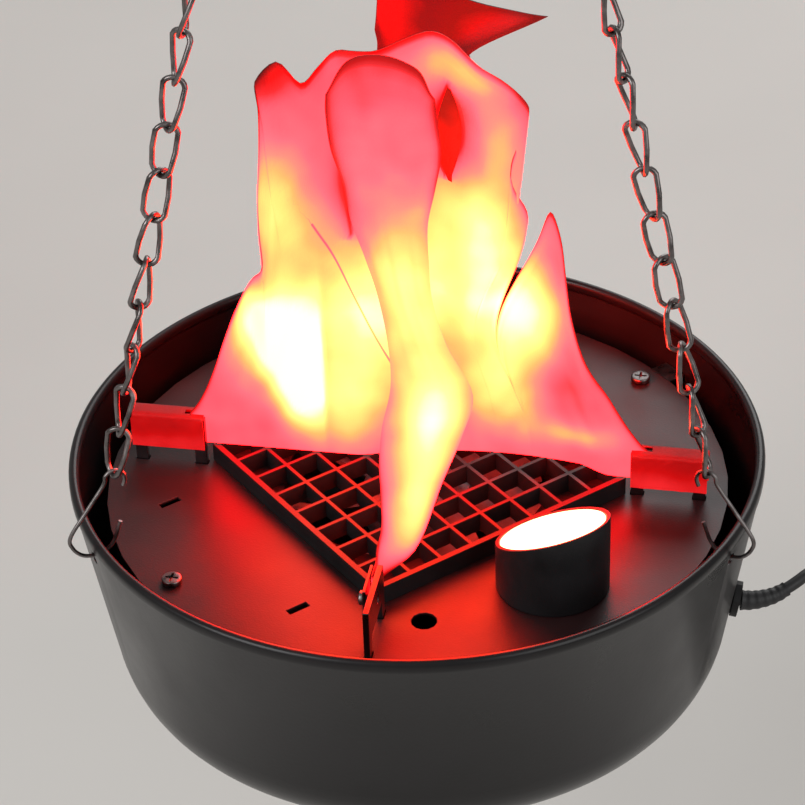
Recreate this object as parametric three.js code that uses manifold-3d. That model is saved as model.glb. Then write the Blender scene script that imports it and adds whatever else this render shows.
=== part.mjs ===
import * as THREE from 'three';
import { mergeVertices } from 'three/addons/utils/BufferGeometryUtils.js';
import Module from 'manifold-3d';

// Silk flame effect light: a bowl hung on three chains, with a fan that lifts two crossed cuts of silk
// and two lamps that light them from below. Millimetres, +Z up.
// The origin is where the top hook bears on what it hangs from. The silk arms lie on +X, +Y, -X and -Y.

const wasm = await Module();
wasm.setup();

const degree = Math.PI / 180;
const turn = 2 * Math.PI;

// Clearance that touching pieces keep, and how far a cutter passes the face that it opens
const gap = 0.3;
const overrun = 4;

// Plan of the plate and the bowl, from the grille outwards. An arm starts just outside the grille's corner
const grilleSide = 120.3;
const armStart = 87;
const armLength = 30;
const plateMargin = 9;
const rimMargin = 14;
const plateRadius = armStart + armLength + plateMargin;
const rimRadius = plateRadius + rimMargin;

// Bowl
const rimWidth = 4;
const rimDepth = 5;
const bowlWall = 1.5;
const bowlHeight = 103;
const shoulderDepth = 76;
const shoulderInset = 12;
const baseRadius = 98;

// Top plate, recessed below the rim
const plateDepth = 18.2;
const plateThickness = 1.2;
const plateHoleRadius = 54;
const plateScrewInset = 10;
const plateScrewRadius = plateRadius - plateScrewInset;
const plateScrewAngles = [45, 225];
const plateScrew = { shank: 2, length: 8, head: 4, headHeight: 2.4 };
const wireHole = { radius: 5, reach: 93, angle: 281.7 };
const spareSlot = { length: 9, width: 3, angle: 45 };
const spareSlotPlaces = [{ reach: 95.3, angle: 251.5 }, { reach: 100.8, angle: 198 }];
const bracketWidth = 12;
const bracketFoot = 8;
const bracketHeight = 14;

// Grille, turned so that its corners point at the silk arms
const grilleHeight = 8;
const grilleFrame = 2.4;
const grilleBar = 1.5;
const grilleCells = 8;

// Fan
const fanSide = 120;
const fanDepth = 25;
const fanCornerLength = 6;
const fanBoreRadius = 56.5;
const fanTipGap = 2;
const fanBlades = 7;
const fanPitch = 35;
const bladeThickness = 2;
const fanScrewInset = 7.5;
const fanScrewPitch = fanSide - 2 * fanScrewInset;
const fanScrew = { shank: 2, head: 3.6, headHeight: 2.4 };
const hubRadius = 22;
const hubWall = 2;
const hubDepth = 17;
const hubRecess = 1;
const motorSeatDepth = 4;
const motorSeatFloor = 1;
const shaftRadius = 1.6;
const bearingRadius = 4;
const bearingHeight = 4;
const bearingWall = 2;

// Silk arms and clamps
const armThickness = 2.4;
const armHeight = 22;
const armBarBottom = 8;
const armLeg = 5;
const armTab = 3;
const clampThickness = 1.2;
const clampLength = 17;
const clampBottom = 9.5;
const clampScrew = { shank: 1.5, place: 12, head: 2.8, headHeight: 1.8 };

// Silk
const silkThickness = 0.8;
const silkHalfWidth = 94;
const silkHeight = 177;
const silkBottomHeight = 9;
const silkCornerHeight = 13;
const pleatDepth = 6.5;

// Lamp pods
const podAngles = { front: -43.5, back: 136.5 };
const podPlaceRadius = 88;
const podRadius = 22;
const podWall = 1.6;
const podFaceHeight = 26;
const podSlope = 26;
const lensThickness = 2.5;
const lensLedge = 1.5;
const boardHeight = 3;
const boardThickness = 1.6;
const sinkBoss = 9;
const sinkCore = 7;
const sinkRadius = 17.6;
const sinkFin = 1.6;
const sinkFins = 2;

// Electrics on the bowl's floor
const driverBox = { length: 62, width: 38, height: 24, corner: 4, place: -14 };
const terminalBox = { length: 16, width: 30, height: 12, well: 2.6, place: 62 };

// Chains and what they hang on
const chainAngles = { left: 215, right: 341, back: 88 };
const chainHeight = 535;
const linkPitch = 18;
const linkWidth = 11;
const linkThickness = 2.2;
const linkBiteDepth = 0.5;
const ringRadius = 18;
const ringThickness = 4;
const ringSpreadAngle = 16;
const topHookThickness = 4;
const topHookBendRadius = 9;
const topHookEyeRadius = 7;
const topHookCentreDistance = 30;
const rimHookThickness = 1.6;
const rimHookHole = 2.7;
const rimHookDepth = 11.5;
const rimHookHeight = 37;

// Cord and plug
const cordDiameter = 5;
const glandDepth = 66;
const glandRadius = 7.5;
const glandShank = 5.5;
const glandFlange = 3;
const nutHeight = 3;
const bootLength = 20;
const bootRadius = 4.3;
const bootTip = 3.1;
const coilRadius = 36;
const coilTurns = 6.25;
const coilGap = 0.6;
const coilTail = 24;
const tieWidth = 5;
const tieThickness = 1;
const plugLength = 35;
const plugWidth = 31;
const plugThickness = 14;
const pinRadius = 2;
const pinLength = 19;
const pinSpacing = 19;

// Heights above the bowl's rim plane
const plateTop = -plateDepth;
const plateBottom = plateTop - plateThickness;
const fanTop = plateBottom - gap;
const fanBottom = fanTop - fanDepth;
const floorTop = bowlWall - bowlHeight;
const silkBottom = plateTop + silkBottomHeight;

// Heights above the origin
const eyeCentre = -topHookBendRadius - topHookCentreDistance;
const ringTopWire = eyeCentre - topHookEyeRadius + 2 * gap + ringThickness / 2;
const ringCentre = ringTopWire - ringRadius;
const rimPlane = ringCentre - ringRadius - chainHeight;

const finish = {
  blackMetal: { color: '#17161a', roughness: 0.42, metalness: 0.2 },
  blackPlate: { color: '#1d1a1c', roughness: 0.3, metalness: 0.2 },
  blackPlastic: { color: '#19181a', roughness: 0.55, metalness: 0 },
  greyPlastic: { color: '#55565a', roughness: 0.5, metalness: 0 },
  steel: { color: '#8d8985', roughness: 0.35, metalness: 1 },
  brass: { color: '#b08d4a', roughness: 0.35, metalness: 1 },
  aluminium: { color: '#a9abad', roughness: 0.4, metalness: 1 },
  copper: { color: '#a5643a', roughness: 0.4, metalness: 0.8 },
  board: { color: '#e6e4dc', roughness: 0.5, metalness: 0 },
  lens: { color: '#fff1c9', roughness: 0.2, metalness: 0 },
  silk: { color: '#f4ece4', roughness: 0.6, metalness: 0 },
  cord: { color: '#1b1b1d', roughness: 0.6, metalness: 0 },
};

// Merges shared corners, drops triangles that lost a corner and turns the faces outwards
function tidy(geometry) {
  const bare = geometry.clone();
  bare.deleteAttribute('normal');
  bare.deleteAttribute('uv');
  const merged = mergeVertices(bare);
  const source = merged.index.array;
  const place = merged.attributes.position;
  const corners = [0, 1, 2].map(() => new THREE.Vector3());
  const kept = [];
  let volume = 0;
  for (let i = 0; i < source.length; i += 3) {
    const face = [source[i], source[i + 1], source[i + 2]];
    if (new Set(face).size < 3) continue;
    kept.push(face);
    face.forEach((at, k) => corners[k].fromBufferAttribute(place, at));
    volume += corners[0].dot(corners[1].clone().cross(corners[2]));
  }
  if (volume < 0) kept.forEach((face) => face.reverse());
  merged.setIndex(kept.flat());
  merged.computeVertexNormals();
  return merged;
}

function solidOf(geometry) {
  const closed = tidy(geometry);
  return new wasm.Manifold(new wasm.Mesh({
    numProp: 3,
    vertProperties: new Float32Array(closed.attributes.position.array),
    triVerts: new Uint32Array(closed.index.array),
  }));
}

function geometryOf(solid) {
  const { vertProperties, triVerts } = solid.getMesh();
  const geometry = new THREE.BufferGeometry();
  geometry.setAttribute('position', new THREE.BufferAttribute(new Float32Array(vertProperties), 3));
  geometry.setIndex(Array.from(triVerts));
  return geometry;
}

const join = (...pieces) => geometryOf(pieces.map(solidOf).reduce((all, next) => all.add(next)));
const cut = (piece, ...tools) => geometryOf(
  tools.map(solidOf).reduce((all, next) => all.subtract(next), solidOf(piece)),
);
const common = (piece, other) => geometryOf(solidOf(piece).intersect(solidOf(other)));

// A closed body from points and faces given as lists of corners
function bodyOf(points, faces) {
  const geometry = new THREE.BufferGeometry();
  const places = points.flatMap((point) => point.toArray());
  geometry.setAttribute('position', new THREE.Float32BufferAttribute(places, 3));
  geometry.setIndex(faces);
  return geometry;
}

const upwards = new THREE.Vector3(0, 0, 1);

// A point at a distance and an angle in plan
const polar = (radius, angle, z = 0) => new THREE.Vector3(radius, 0, z).applyAxisAngle(upwards, angle * degree);

const flat = (pairs) => pairs.map(([x, y]) => new THREE.Vector2(x, y));

const roundOutline = (radius, sides, centre = new THREE.Vector3()) => flat(
  Array.from({ length: sides }, (_, i) => polar(radius, (360 * i) / sides).add(centre).toArray()),
);

// A round outline whose flat sides lie at the radius, so that what passes through it keeps its clearance
const roundHole = (radius, sides, centre) => roundOutline(radius / Math.cos(Math.PI / sides), sides, centre);

function boxOutline(length, width, angle = 0, centre = new THREE.Vector3()) {
  const corners = [[-1, -1], [1, -1], [1, 1], [-1, 1]];
  return flat(corners.map(([x, y]) => new THREE.Vector3((x * length) / 2, (y * width) / 2, 0)
    .applyAxisAngle(upwards, angle * degree).add(centre).toArray()));
}

// A rectangle with its corners cut off, from its half sizes
const chamferedOutline = (x, y, corner) => flat([
  [x - corner, -y], [x, corner - y], [x, y - corner], [x - corner, y],
  [corner - x, y], [-x, y - corner], [-x, corner - y], [corner - x, -y],
]);

// An outline in plan, given a height
function slab(outline, height, z = 0) {
  const body = new THREE.ExtrudeGeometry(new THREE.Shape(outline), { depth: height, bevelEnabled: false });
  return body.translate(0, 0, z);
}

// An outline of X and Z, given a width across Y
const upright = (pairs, width) => slab(flat(pairs), width).rotateX(Math.PI / 2).translate(0, width / 2, 0);

const rod = (radius, height, z = 0, sides = 20) => slab(roundOutline(radius, sides), height, z);
const hole = (radius, height, z = 0, sides = 12) => slab(roundHole(radius, sides), height, z);

// A profile of radius and height turned about Z
function turned(profile, sides) {
  return new THREE.LatheGeometry(flat(profile), sides).rotateX(Math.PI / 2);
}

const smooth = (points) => new THREE.CatmullRomCurve3(points, false, 'centripetal');

function tube(curve, radius, sides, steps) {
  const section = new THREE.Shape(roundOutline(radius, sides));
  return new THREE.ExtrudeGeometry(section, { steps, bevelEnabled: false, extrudePath: curve });
}

// The stretch of a curve between two distances along it
function stretch(curve, from, to, steps) {
  const total = curve.getLength();
  return smooth(Array.from({ length: steps + 1 }, (_, i) => (
    curve.getPointAt(Math.min(THREE.MathUtils.lerp(from, to, i / steps) / total, 1))
  )));
}

// A screw with its head's seat at the origin and its shank along -Z
const screw = ({ shank, head, headHeight }, length) => turned([
  [0, -length], [shank, -length], [shank, 0], [head, 0], [head, headHeight / 2],
  [head - headHeight / 2, headHeight], [0, headHeight],
], 6);

const object = new THREE.Group();
const lamp = new THREE.Group();
lamp.position.z = rimPlane;
object.add(lamp);

function add(name, geometry, look, parent = lamp) {
  const mesh = new THREE.Mesh(tidy(geometry), new THREE.MeshStandardMaterial(finish[look]));
  mesh.name = name;
  parent.add(mesh);
  return mesh;
}

// Outer radius of the bowl's straight wall at a height below the rim, and how far it leans
const wallRadius = (z) => rimRadius - (shoulderInset * (-z - rimDepth)) / (shoulderDepth - rimDepth);
const wallLean = Math.atan(shoulderInset / (shoulderDepth - rimDepth));

function bowl() {
  const shoulder = rimRadius - shoulderInset;
  const knuckle = (inset) => new THREE.QuadraticBezierCurve(
    new THREE.Vector2(shoulder - inset, -shoulderDepth),
    new THREE.Vector2(shoulder - shoulderInset / 4 - inset, inset - bowlHeight),
    new THREE.Vector2(baseRadius, inset - bowlHeight),
  ).getPoints(3).map((p) => [p.x, p.y]);
  const profile = [
    [0, -bowlHeight], ...knuckle(0).reverse(), [rimRadius, -rimDepth], [rimRadius, 0],
    [rimRadius - rimWidth, 0], [rimRadius - rimWidth, -rimDepth],
    [rimRadius - bowlWall, -rimDepth], ...knuckle(bowlWall), [0, floorTop],
  ];
  const hookHole = (angle) => hole(rimHookHole, rimWidth + 2 * overrun)
    .rotateY(Math.PI / 2)
    .translate(rimRadius - rimWidth - overrun, 0, -rimHookDepth)
    .rotateZ(angle * degree);
  const glandHole = hole(glandShank + gap, 2 * overrun, -overrun)
    .rotateY(Math.PI / 2 + wallLean)
    .translate(wallRadius(-glandDepth), 0, -glandDepth);
  return cut(turned(profile, 44), glandHole, ...Object.values(chainAngles).map(hookHole));
}

// Silk arms stand beside the silk's plane: how far off it an arm's middle is
const armAngles = { right: 0, back: 90, left: 180, front: 270 };
const armSide = silkThickness / 2 + gap + armThickness / 2;
const fanScrewPlaceRadius = fanScrewPitch / Math.SQRT2;

function plate() {
  const holes = [
    roundOutline(plateHoleRadius, 32),
    roundOutline(wireHole.radius, 12, polar(wireHole.reach, wireHole.angle)),
    ...plateScrewAngles.map((angle) => roundHole(plateScrew.shank + gap, 8, polar(plateScrewRadius, angle))),
    ...spareSlotPlaces.map(({ reach, angle }) => boxOutline(spareSlot.length, spareSlot.width,
      spareSlot.angle, polar(reach, angle))),
    ...Object.values(podAngles).map((angle) => roundHole(sinkBoss + gap, 12, polar(podPlaceRadius, angle))),
  ];
  for (const angle of Object.values(armAngles)) {
    holes.push(roundHole(fanScrew.shank + gap, 8, polar(fanScrewPlaceRadius, angle)));
    for (const middle of [armStart + armLeg / 2, armStart + armLength - armLeg / 2]) {
      const centre = new THREE.Vector3(middle, armSide, 0).applyAxisAngle(upwards, angle * degree);
      holes.push(boxOutline(armLeg + 2 * gap, armThickness + 2 * gap, angle, centre));
    }
  }
  const tools = holes.map((outline) => slab(outline, plateThickness + 2 * overrun, plateBottom - overrun));
  return cut(rod(plateRadius, plateThickness, plateBottom, 44), ...tools);
}

function grille() {
  const pitch = (grilleSide - 2 * grilleFrame + grilleBar) / grilleCells;
  const opening = boxOutline(pitch - grilleBar, pitch - grilleBar);
  const cells = [];
  for (let row = 0; row < grilleCells; row += 1) {
    for (let column = 0; column < grilleCells; column += 1) {
      cells.push(slab(opening, grilleHeight + 2 * overrun, -overrun).translate(
        (column - (grilleCells - 1) / 2) * pitch,
        (row - (grilleCells - 1) / 2) * pitch,
        0,
      ));
    }
  }
  return cut(slab(boxOutline(grilleSide, grilleSide), grilleHeight), ...cells)
    .rotateZ(45 * degree).translate(0, 0, plateTop + gap);
}

// One arm with its tabs through the plate, a clamp strip on the silk's other side, and the screw between
const clampScrewPlace = polar(armStart + clampScrew.place, 0, plateTop + (armBarBottom + armHeight) / 2);
const clampHole = () => hole(clampScrew.shank + gap, 2 * overrun + armThickness, -overrun, 8)
  .rotateX(Math.PI / 2)
  .translate(clampScrewPlace.x, overrun, clampScrewPlace.z);

function silkArm() {
  const end = armStart + armLength;
  const low = plateBottom - armTab;
  const bar = plateTop + armBarBottom;
  const high = plateTop + armHeight;
  const blank = upright([
    [armStart, low], [armStart + armLeg, low], [armStart + armLeg, bar], [end - armLeg, bar],
    [end - armLeg, low], [end, low], [end, high], [armStart, high],
  ], armThickness).translate(0, armSide, 0);
  return cut(blank, clampHole());
}

function clampStrip() {
  const [low, high] = [plateTop + clampBottom, plateTop + armHeight - gap];
  const [near, far] = [armStart, armStart + clampLength];
  const blank = upright([[near, low], [far, low], [far, high], [near, high]], clampThickness)
    .translate(0, -(silkThickness + clampThickness) / 2 - gap, 0);
  return cut(blank, clampHole());
}

function clampScrewBody() {
  const through = clampThickness + silkThickness + 3 * gap + armThickness;
  return screw(clampScrew, through)
    .rotateX(Math.PI / 2)
    .translate(clampScrewPlace.x, -silkThickness / 2 - clampThickness - 2 * gap, clampScrewPlace.z);
}

// A cloth panel with a thickness. Each column is a line of points from the lower edge to the upper edge
function cloth(columns, rows) {
  const grid = columns.map((column) => new THREE.CatmullRomCurve3(column).getPoints(rows));
  const width = grid.length;
  const normalAt = (i, k) => {
    const across = grid[Math.min(i + 1, width - 1)][k].clone().sub(grid[Math.max(i - 1, 0)][k]);
    const up = grid[i][Math.min(k + 1, rows)].clone().sub(grid[i][Math.max(k - 1, 0)]);
    return across.cross(up).normalize();
  };
  const points = [-1, 1].flatMap((side) => grid.flatMap((column, i) => column.map(
    (point, k) => point.clone().addScaledVector(normalAt(i, k), (side * silkThickness) / 2),
  )));
  const at = (side, i, k) => (side * width + i) * (rows + 1) + k;
  const faces = [];
  const quad = (a, b, c, d) => faces.push(a, b, c, a, c, d);
  for (let i = 0; i < width - 1; i += 1) {
    for (let k = 0; k < rows; k += 1) {
      quad(at(0, i, k), at(0, i, k + 1), at(0, i + 1, k + 1), at(0, i + 1, k));
      quad(at(1, i, k), at(1, i + 1, k), at(1, i + 1, k + 1), at(1, i, k + 1));
    }
    quad(at(0, i, 0), at(0, i + 1, 0), at(1, i + 1, 0), at(1, i, 0));
    quad(at(0, i, rows), at(1, i, rows), at(1, i + 1, rows), at(0, i + 1, rows));
  }
  for (let k = 0; k < rows; k += 1) {
    quad(at(0, 0, k), at(1, 0, k), at(1, 0, k + 1), at(0, 0, k + 1));
    quad(at(0, width - 1, k), at(0, width - 1, k + 1), at(1, width - 1, k + 1), at(1, width - 1, k));
  }
  return bodyOf(points, faces);
}

// Left to right silk. For each column: where it starts on the lower edge and where it ends across the
// span, both as shares of the silk's half span, and how high it ends, as a share of the silk's height
const crossShares = [
  [-1, -1, 0], [-0.936, -0.936, 0.052], [-0.872, -0.872, 0.131], [-0.809, -0.809, 0.227],
  [-0.745, -0.734, 0.323], [-0.691, -0.67, 0.385], [-0.638, -0.617, 0.43], [-0.596, -0.622, 0.515],
  [-0.553, -0.617, 0.611], [-0.511, -0.596, 0.723], [-0.473, -0.585, 0.836], [-0.436, -0.574, 0.927],
  [-0.394, -0.5, 0.91], [-0.351, -0.426, 0.876], [-0.309, -0.362, 0.904], [-0.255, -0.287, 0.944],
  [-0.149, -0.149, 0.977], [-0.043, -0.021, 0.994], [0.064, 0.106, 1], [0.149, 0.191, 0.99],
  [0.213, 0.298, 0.965], [0.266, 0.394, 0.93], [0.309, 0.473, 0.862], [0.34, 0.483, 0.82],
  [0.36, 0.43, 0.735], [0.385, 0.43, 0.67], [0.41, 0.484, 0.59], [0.436, 0.489, 0.532],
  [0.468, 0.489, 0.441], [0.495, 0.492, 0.34], [0.505, 0.495, 0.26], [0.52, 0.503, 0.34],
  [0.54, 0.518, 0.43], [0.56, 0.543, 0.509], [0.59, 0.575, 0.585], [0.625, 0.625, 0.53],
  [0.655, 0.66, 0.441], [0.695, 0.695, 0.34], [0.745, 0.745, 0.238], [0.809, 0.815, 0.153],
  [0.894, 0.894, 0.074], [0.957, 0.957, 0.024], [1, 1, 0],
];
const pleatCount = 4.5;

// Pleats fade out before they reach the clamps
const clampShare = armStart / silkHalfWidth;
const pleatRoom = (share) => THREE.MathUtils.smoothstep(
  clampShare - Math.abs(share),
  1 - clampShare,
  3 * (1 - clampShare),
);

// The waist of the right tongue, where the cloth draws in towards the middle, as shares of the half span
const waistShares = { side: 0.495, height: 0.553, depth: 0.149, reach: 0.34, inner: 0.255, outer: 0.149 };

function drawnIn(side, height) {
  const away = side - waistShares.side;
  const across = away / (away < 0 ? waistShares.inner : waistShares.outer);
  const up = (height - waistShares.height) / waistShares.reach;
  return waistShares.depth * Math.exp(-(across ** 2) - up ** 2);
}

function crossSilk() {
  const columns = crossShares.map(([start, end, height]) => Array.from({ length: 5 }, (_, k) => {
    const up = k / 4;
    const along = THREE.MathUtils.lerp(start, end, up);
    const fold = Math.sin(Math.PI * pleatCount * along) * pleatDepth * up * pleatRoom(along);
    const rise = silkBottom + up * (silkCornerHeight + silkHeight * height);
    const side = along - drawnIn(along, rise / silkHalfWidth);
    return new THREE.Vector3(side * silkHalfWidth, fold, rise);
  }));
  return cloth(columns, 6);
}

// Front and back tongues. Stations run from the clamped edge upwards, each with a middle and a half width
// as shares of the silk's half span outwards, sideways and upwards. The crest is a last row of points
const frontShares = [
  [[1, 0, 0.069], [0, 0, -0.069]], [[0.95, 0, 0.069], [0, 0, -0.069]], [[0.9, 0, 0.072], [0, 0, -0.069]],
  [[0.865, 0.005, 0.1], [0.01, 0.01, -0.065]], [[0.787, 0.074, 0.194], [0.02, 0.074, -0.043]],
  [[0.617, 0.096, 0.364], [0, 0.128, -0.021]], [[0.489, 0.122, 0.491], [0, 0.165, 0]],
  [[0.362, 0.144, 0.619], [0, 0.17, 0]], [[0.255, 0.07, 0.766], [0, 0.125, 0]],
  [[0.191, 0.012, 0.94], [0, 0.112, 0]], [[0.165, -0.022, 1.108], [0, 0.13, 0]],
  [[0.155, -0.05, 1.27], [0, 0.155, 0]], [[0.149, -0.047, 1.43], [0, 0.185, 0]],
  [[0.149, -0.056, 1.59], [0, 0.222, 0]], [[0.149, -0.068, 1.75], [0, 0.222, 0]],
];
const frontCrestShares = [[-0.285, 1.84], [-0.2, 1.98], [-0.06, 2.02], [0.08, 1.96], [0.145, 1.84]];
const backShares = [
  [[1, 0, 0.069], [0, 0, -0.069]], [[0.95, 0, 0.069], [0, 0, -0.069]], [[0.9, 0, 0.075], [0, 0, -0.069]],
  [[0.85, 0, 0.14], [0, 0.02, -0.06]], [[0.75, 0, 0.36], [0, 0.12, -0.02]], [[0.64, 0.01, 0.6], [0, 0.18, 0]],
  [[0.54, 0.02, 0.86], [0, 0.22, 0]], [[0.46, 0.02, 1.12], [0, 0.24, 0]], [[0.4, 0.02, 1.38], [0, 0.24, 0]],
  [[0.36, 0.01, 1.62], [0, 0.21, 0]], [[0.36, 0.01, 1.78], [0, 0.19, 0]],
];
const backCrestShares = [[-0.19, 1.86], [-0.13, 2.25], [0.05, 2.1], [0.27, 2.0], [0.52, 1.97]];
const crownShare = 0.2;

function tongueSilk(stations, crest, outward) {
  const place = (out, side, up) => new THREE.Vector3(side, outward * out, up).multiplyScalar(silkHalfWidth);
  const [topMiddle] = stations.at(-1);
  const columns = crest.map(([side, up], i) => {
    const step = (2 * i) / (crest.length - 1) - 1;
    const line = stations.map(([middle, half]) => {
      const reach = place(...half);
      const crown = (1 - step * step) * crownShare * Math.abs(reach.x);
      return place(...middle).addScaledVector(reach, step).add(new THREE.Vector3(0, crown * outward, 0));
    });
    return [...line, place(topMiddle[0], side, up)];
  });
  return cloth(columns, 18).translate(0, 0, silkBottom);
}

// Everything above a plane that leans outwards and crosses the pod's axis at a height
function aboveSlope(height) {
  const reach = podRadius + overrun;
  const rise = reach * Math.tan(podSlope * degree);
  const top = height + 2 * podRadius;
  return upright([[-reach, height - rise], [reach, height + rise], [reach, top], [-reach, top]], 2 * reach);
}

// Clearance measured straight up between two sloping faces
const slopeGap = gap / Math.cos(podSlope * degree);

function podHousing() {
  const bore = podRadius - podWall;
  const seat = common(
    hole(bore, 3 * podRadius, 0, 24),
    aboveSlope(podFaceHeight - lensThickness - slopeGap),
  );
  return cut(
    rod(podRadius, 2 * podFaceHeight, gap, 24),
    hole(bore - lensLedge, 3 * podRadius, -overrun, 20),
    seat,
    aboveSlope(podFaceHeight),
  );
}

function podLens() {
  const blank = rod(podRadius - podWall - gap, 3 * podRadius, 0, 24);
  return cut(common(blank, aboveSlope(podFaceHeight - lensThickness)), aboveSlope(podFaceHeight - gap));
}

function podBoard() {
  const radius = podRadius - podWall - lensLedge - gap;
  const top = boardHeight + boardThickness;
  return turned([
    [0, boardHeight], [radius, boardHeight], [radius, top], [radius / 3, top],
    [radius / 4, top + radius / 6], [0, top + radius / 4],
  ], 12);
}

function podSink() {
  const under = -plateThickness - gap;
  const top = boardHeight - gap;
  const profile = [[0, top], [sinkBoss, top], [sinkBoss, under]];
  for (let i = 0; i < sinkFins; i += 1) {
    const fin = under - 2 * i * sinkFin;
    profile.push([sinkRadius, fin], [sinkRadius, fin - sinkFin]);
    if (i < sinkFins - 1) profile.push([sinkCore, fin - sinkFin], [sinkCore, fin - 2 * sinkFin]);
  }
  profile.push([0, under - (2 * sinkFins - 1) * sinkFin]);
  return turned(profile, 10);
}

// Heights inside the fan, from its bottom face
const hubTop = fanDepth - hubRecess;
const hubCap = hubTop - hubWall;
const postTop = hubCap - 2 * gap;
const shaftEnd = motorSeatFloor + gap;
const bearingTube = bearingRadius + gap + bearingWall;
const fanCorners = [45, 135, 225, 315];

function fanFrame() {
  const blank = slab(chamferedOutline(fanSide / 2, fanSide / 2, fanCornerLength), fanDepth);
  const through = fanDepth + 2 * overrun;
  const screwHoles = fanCorners.map((angle) => hole(fanScrew.shank + gap, through, -overrun, 8)
    .translate(fanScrewPlaceRadius, 0, 0).rotateZ(angle * degree));
  const ducted = cut(blank, rod(fanBoreRadius, through, -overrun, 32), ...screwHoles);
  const reach = fanBoreRadius + gap;
  const spokes = [0, 90].map((angle) => slab(boxOutline(2 * reach, motorSeatDepth, angle), motorSeatDepth));
  const seat = rod(hubRadius, motorSeatDepth, 0, 20);
  const bore = hole(bearingRadius + gap, fanDepth + overrun, motorSeatFloor, 12);
  return cut(join(ducted, ...spokes, seat, rod(bearingTube, postTop, 0, 12)), bore);
}

// A ring with flat faces
const washer = (outer, inner, height, sides) => cut(
  rod(outer, height, 0, sides),
  hole(inner, height + 2 * overrun, -overrun, sides),
);

// A blade's outline, as shares of the way from the hub to its tip and of half its chord
const bladeShares = [[0, -0.5], [0.9, -0.9], [1, 0], [0.9, 0.9], [0, 0.5]];

function impeller() {
  const hubBottom = hubTop - hubDepth;
  const edge = hubWall / 2;
  const hub = turned([
    [0, shaftEnd], [shaftRadius, shaftEnd], [shaftRadius, hubCap], [hubRadius - hubWall, hubCap],
    [hubRadius - hubWall, hubBottom], [hubRadius, hubBottom], [hubRadius, hubTop - edge],
    [hubRadius - edge, hubTop], [0, hubTop],
  ], 20);
  const tip = fanBoreRadius - fanTipGap;
  const root = hubRadius - edge;
  const chord = (hubDepth - 2 * edge) / Math.sin(fanPitch * degree) - bladeThickness;
  const outline = flat(bladeShares.map(([out, side]) => [
    THREE.MathUtils.lerp(root, tip, out), (side * chord) / 2,
  ]));
  const flatBlade = slab(outline, bladeThickness, -bladeThickness / 2);
  const blades = Array.from({ length: fanBlades }, (_, i) => flatBlade.clone()
    .rotateX(fanPitch * degree)
    .translate(0, 0, hubTop - hubDepth / 2)
    .rotateZ((turn * i) / fanBlades));
  return join(hub, ...blades);
}

// Angle brackets that carry the plate on the bowl's wall
function plateBracket() {
  const top = plateBottom - gap;
  const under = top - bowlWall;
  const low = top - bracketHeight;
  const face = (z) => wallRadius(z) - bowlWall - 3 * gap;
  const start = plateScrewRadius - bracketFoot;
  const blank = upright([
    [start, top], [start, under], [face(under) - bowlWall, under], [face(low) - bowlWall, low],
    [face(low), low], [face(top), top],
  ], bracketWidth);
  return cut(blank, hole(plateScrew.shank + gap, bowlWall + 2 * overrun, under - overrun, 8)
    .translate(plateScrewRadius, 0, 0));
}

function lampDriver() {
  const { length, width, height, corner } = driverBox;
  return slab(chamferedOutline(length / 2, width / 2, corner), height);
}

function terminalBlock() {
  const { length, width, height, well } = terminalBox;
  const wells = [-1, 0, 1].map((side) => (
    rod(well, height, height / 2, 8).translate(0, (side * width) / 3, 0)
  ));
  return cut(slab(boxOutline(length, width), height), ...wells);
}

// A chain link lying along X, with long straight sides and pointed ends. Its round wire is drawn square,
// with corners this share of the wire's diameter from its middle
const pointedEnd = 60 * degree;
const cornerShare = 0.6;

function link(innerLength) {
  const middle = (linkWidth - linkThickness) / 2 / Math.sin(pointedEnd);
  const side = linkThickness * cornerShare;
  const geometry = new THREE.TorusGeometry(middle, side, 4, 6);
  const stretch = innerLength / 2 + side - middle;
  const place = geometry.attributes.position;
  for (let i = 0; i < place.count; i += 1) {
    place.setX(i, place.getX(i) + Math.sign(place.getX(i)) * stretch);
  }
  return geometry;
}

// How far a wire's middle lies from the point of a link's end
const nested = (wire) => (wire / 2 + 2 * gap) / Math.sin(pointedEnd);

// A chain pulled straight from a rim hook to the ring. Each link is turned a quarter from the last, and a
// little more, so that the first and the last both face the wire that they hang on
function chain(low, high, lowFace, highFace) {
  const along = high.clone().sub(low);
  const distance = along.length();
  along.normalize();
  const room = distance + nested(rimHookThickness) + nested(ringThickness) + linkBiteDepth;
  const count = Math.round(room / linkPitch);
  const pitch = room / count;
  const inner = pitch - linkBiteDepth;
  const first = lowFace.clone().projectOnPlane(along).normalize();
  const last = highFace.clone().projectOnPlane(along).normalize();
  const wanted = Math.atan2(last.dot(along.clone().cross(first)), last.dot(first));
  const quarters = ((count - 1) * Math.PI) / 2;
  const more = (wanted - quarters) - Math.PI * Math.round((wanted - quarters) / Math.PI);
  const step = (quarters + more) / (count - 1);
  const pieces = Array.from({ length: count }, (_, i) => {
    const face = first.clone().applyAxisAngle(along, step * i);
    const frame = new THREE.Matrix4().makeBasis(along, face.clone().cross(along), face);
    frame.setPosition(low.clone().addScaledVector(along, inner / 2 - nested(rimHookThickness) + pitch * i));
    return link(inner).applyMatrix4(frame);
  });
  return join(...pieces);
}

// Rim hook: from inside the bowl under its rim, out through the hole, over the rim and down again.
// Shares of its height outwards and upwards, from where it bears in the hole
const rimHookShares = [
  [-0.32, 0.34], [-0.235, 0.125], [-0.13, 0.02], [0, 0], [0.13, 0.04], [0.225, 0.16], [0.235, 0.31],
  [0.03, 0.58], [-0.18, 0.85], [-0.21, 0.95], [-0.3, 1], [-0.39, 0.95], [-0.415, 0.86], [-0.39, 0.78],
];
const rimHookBend = 10;

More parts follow.
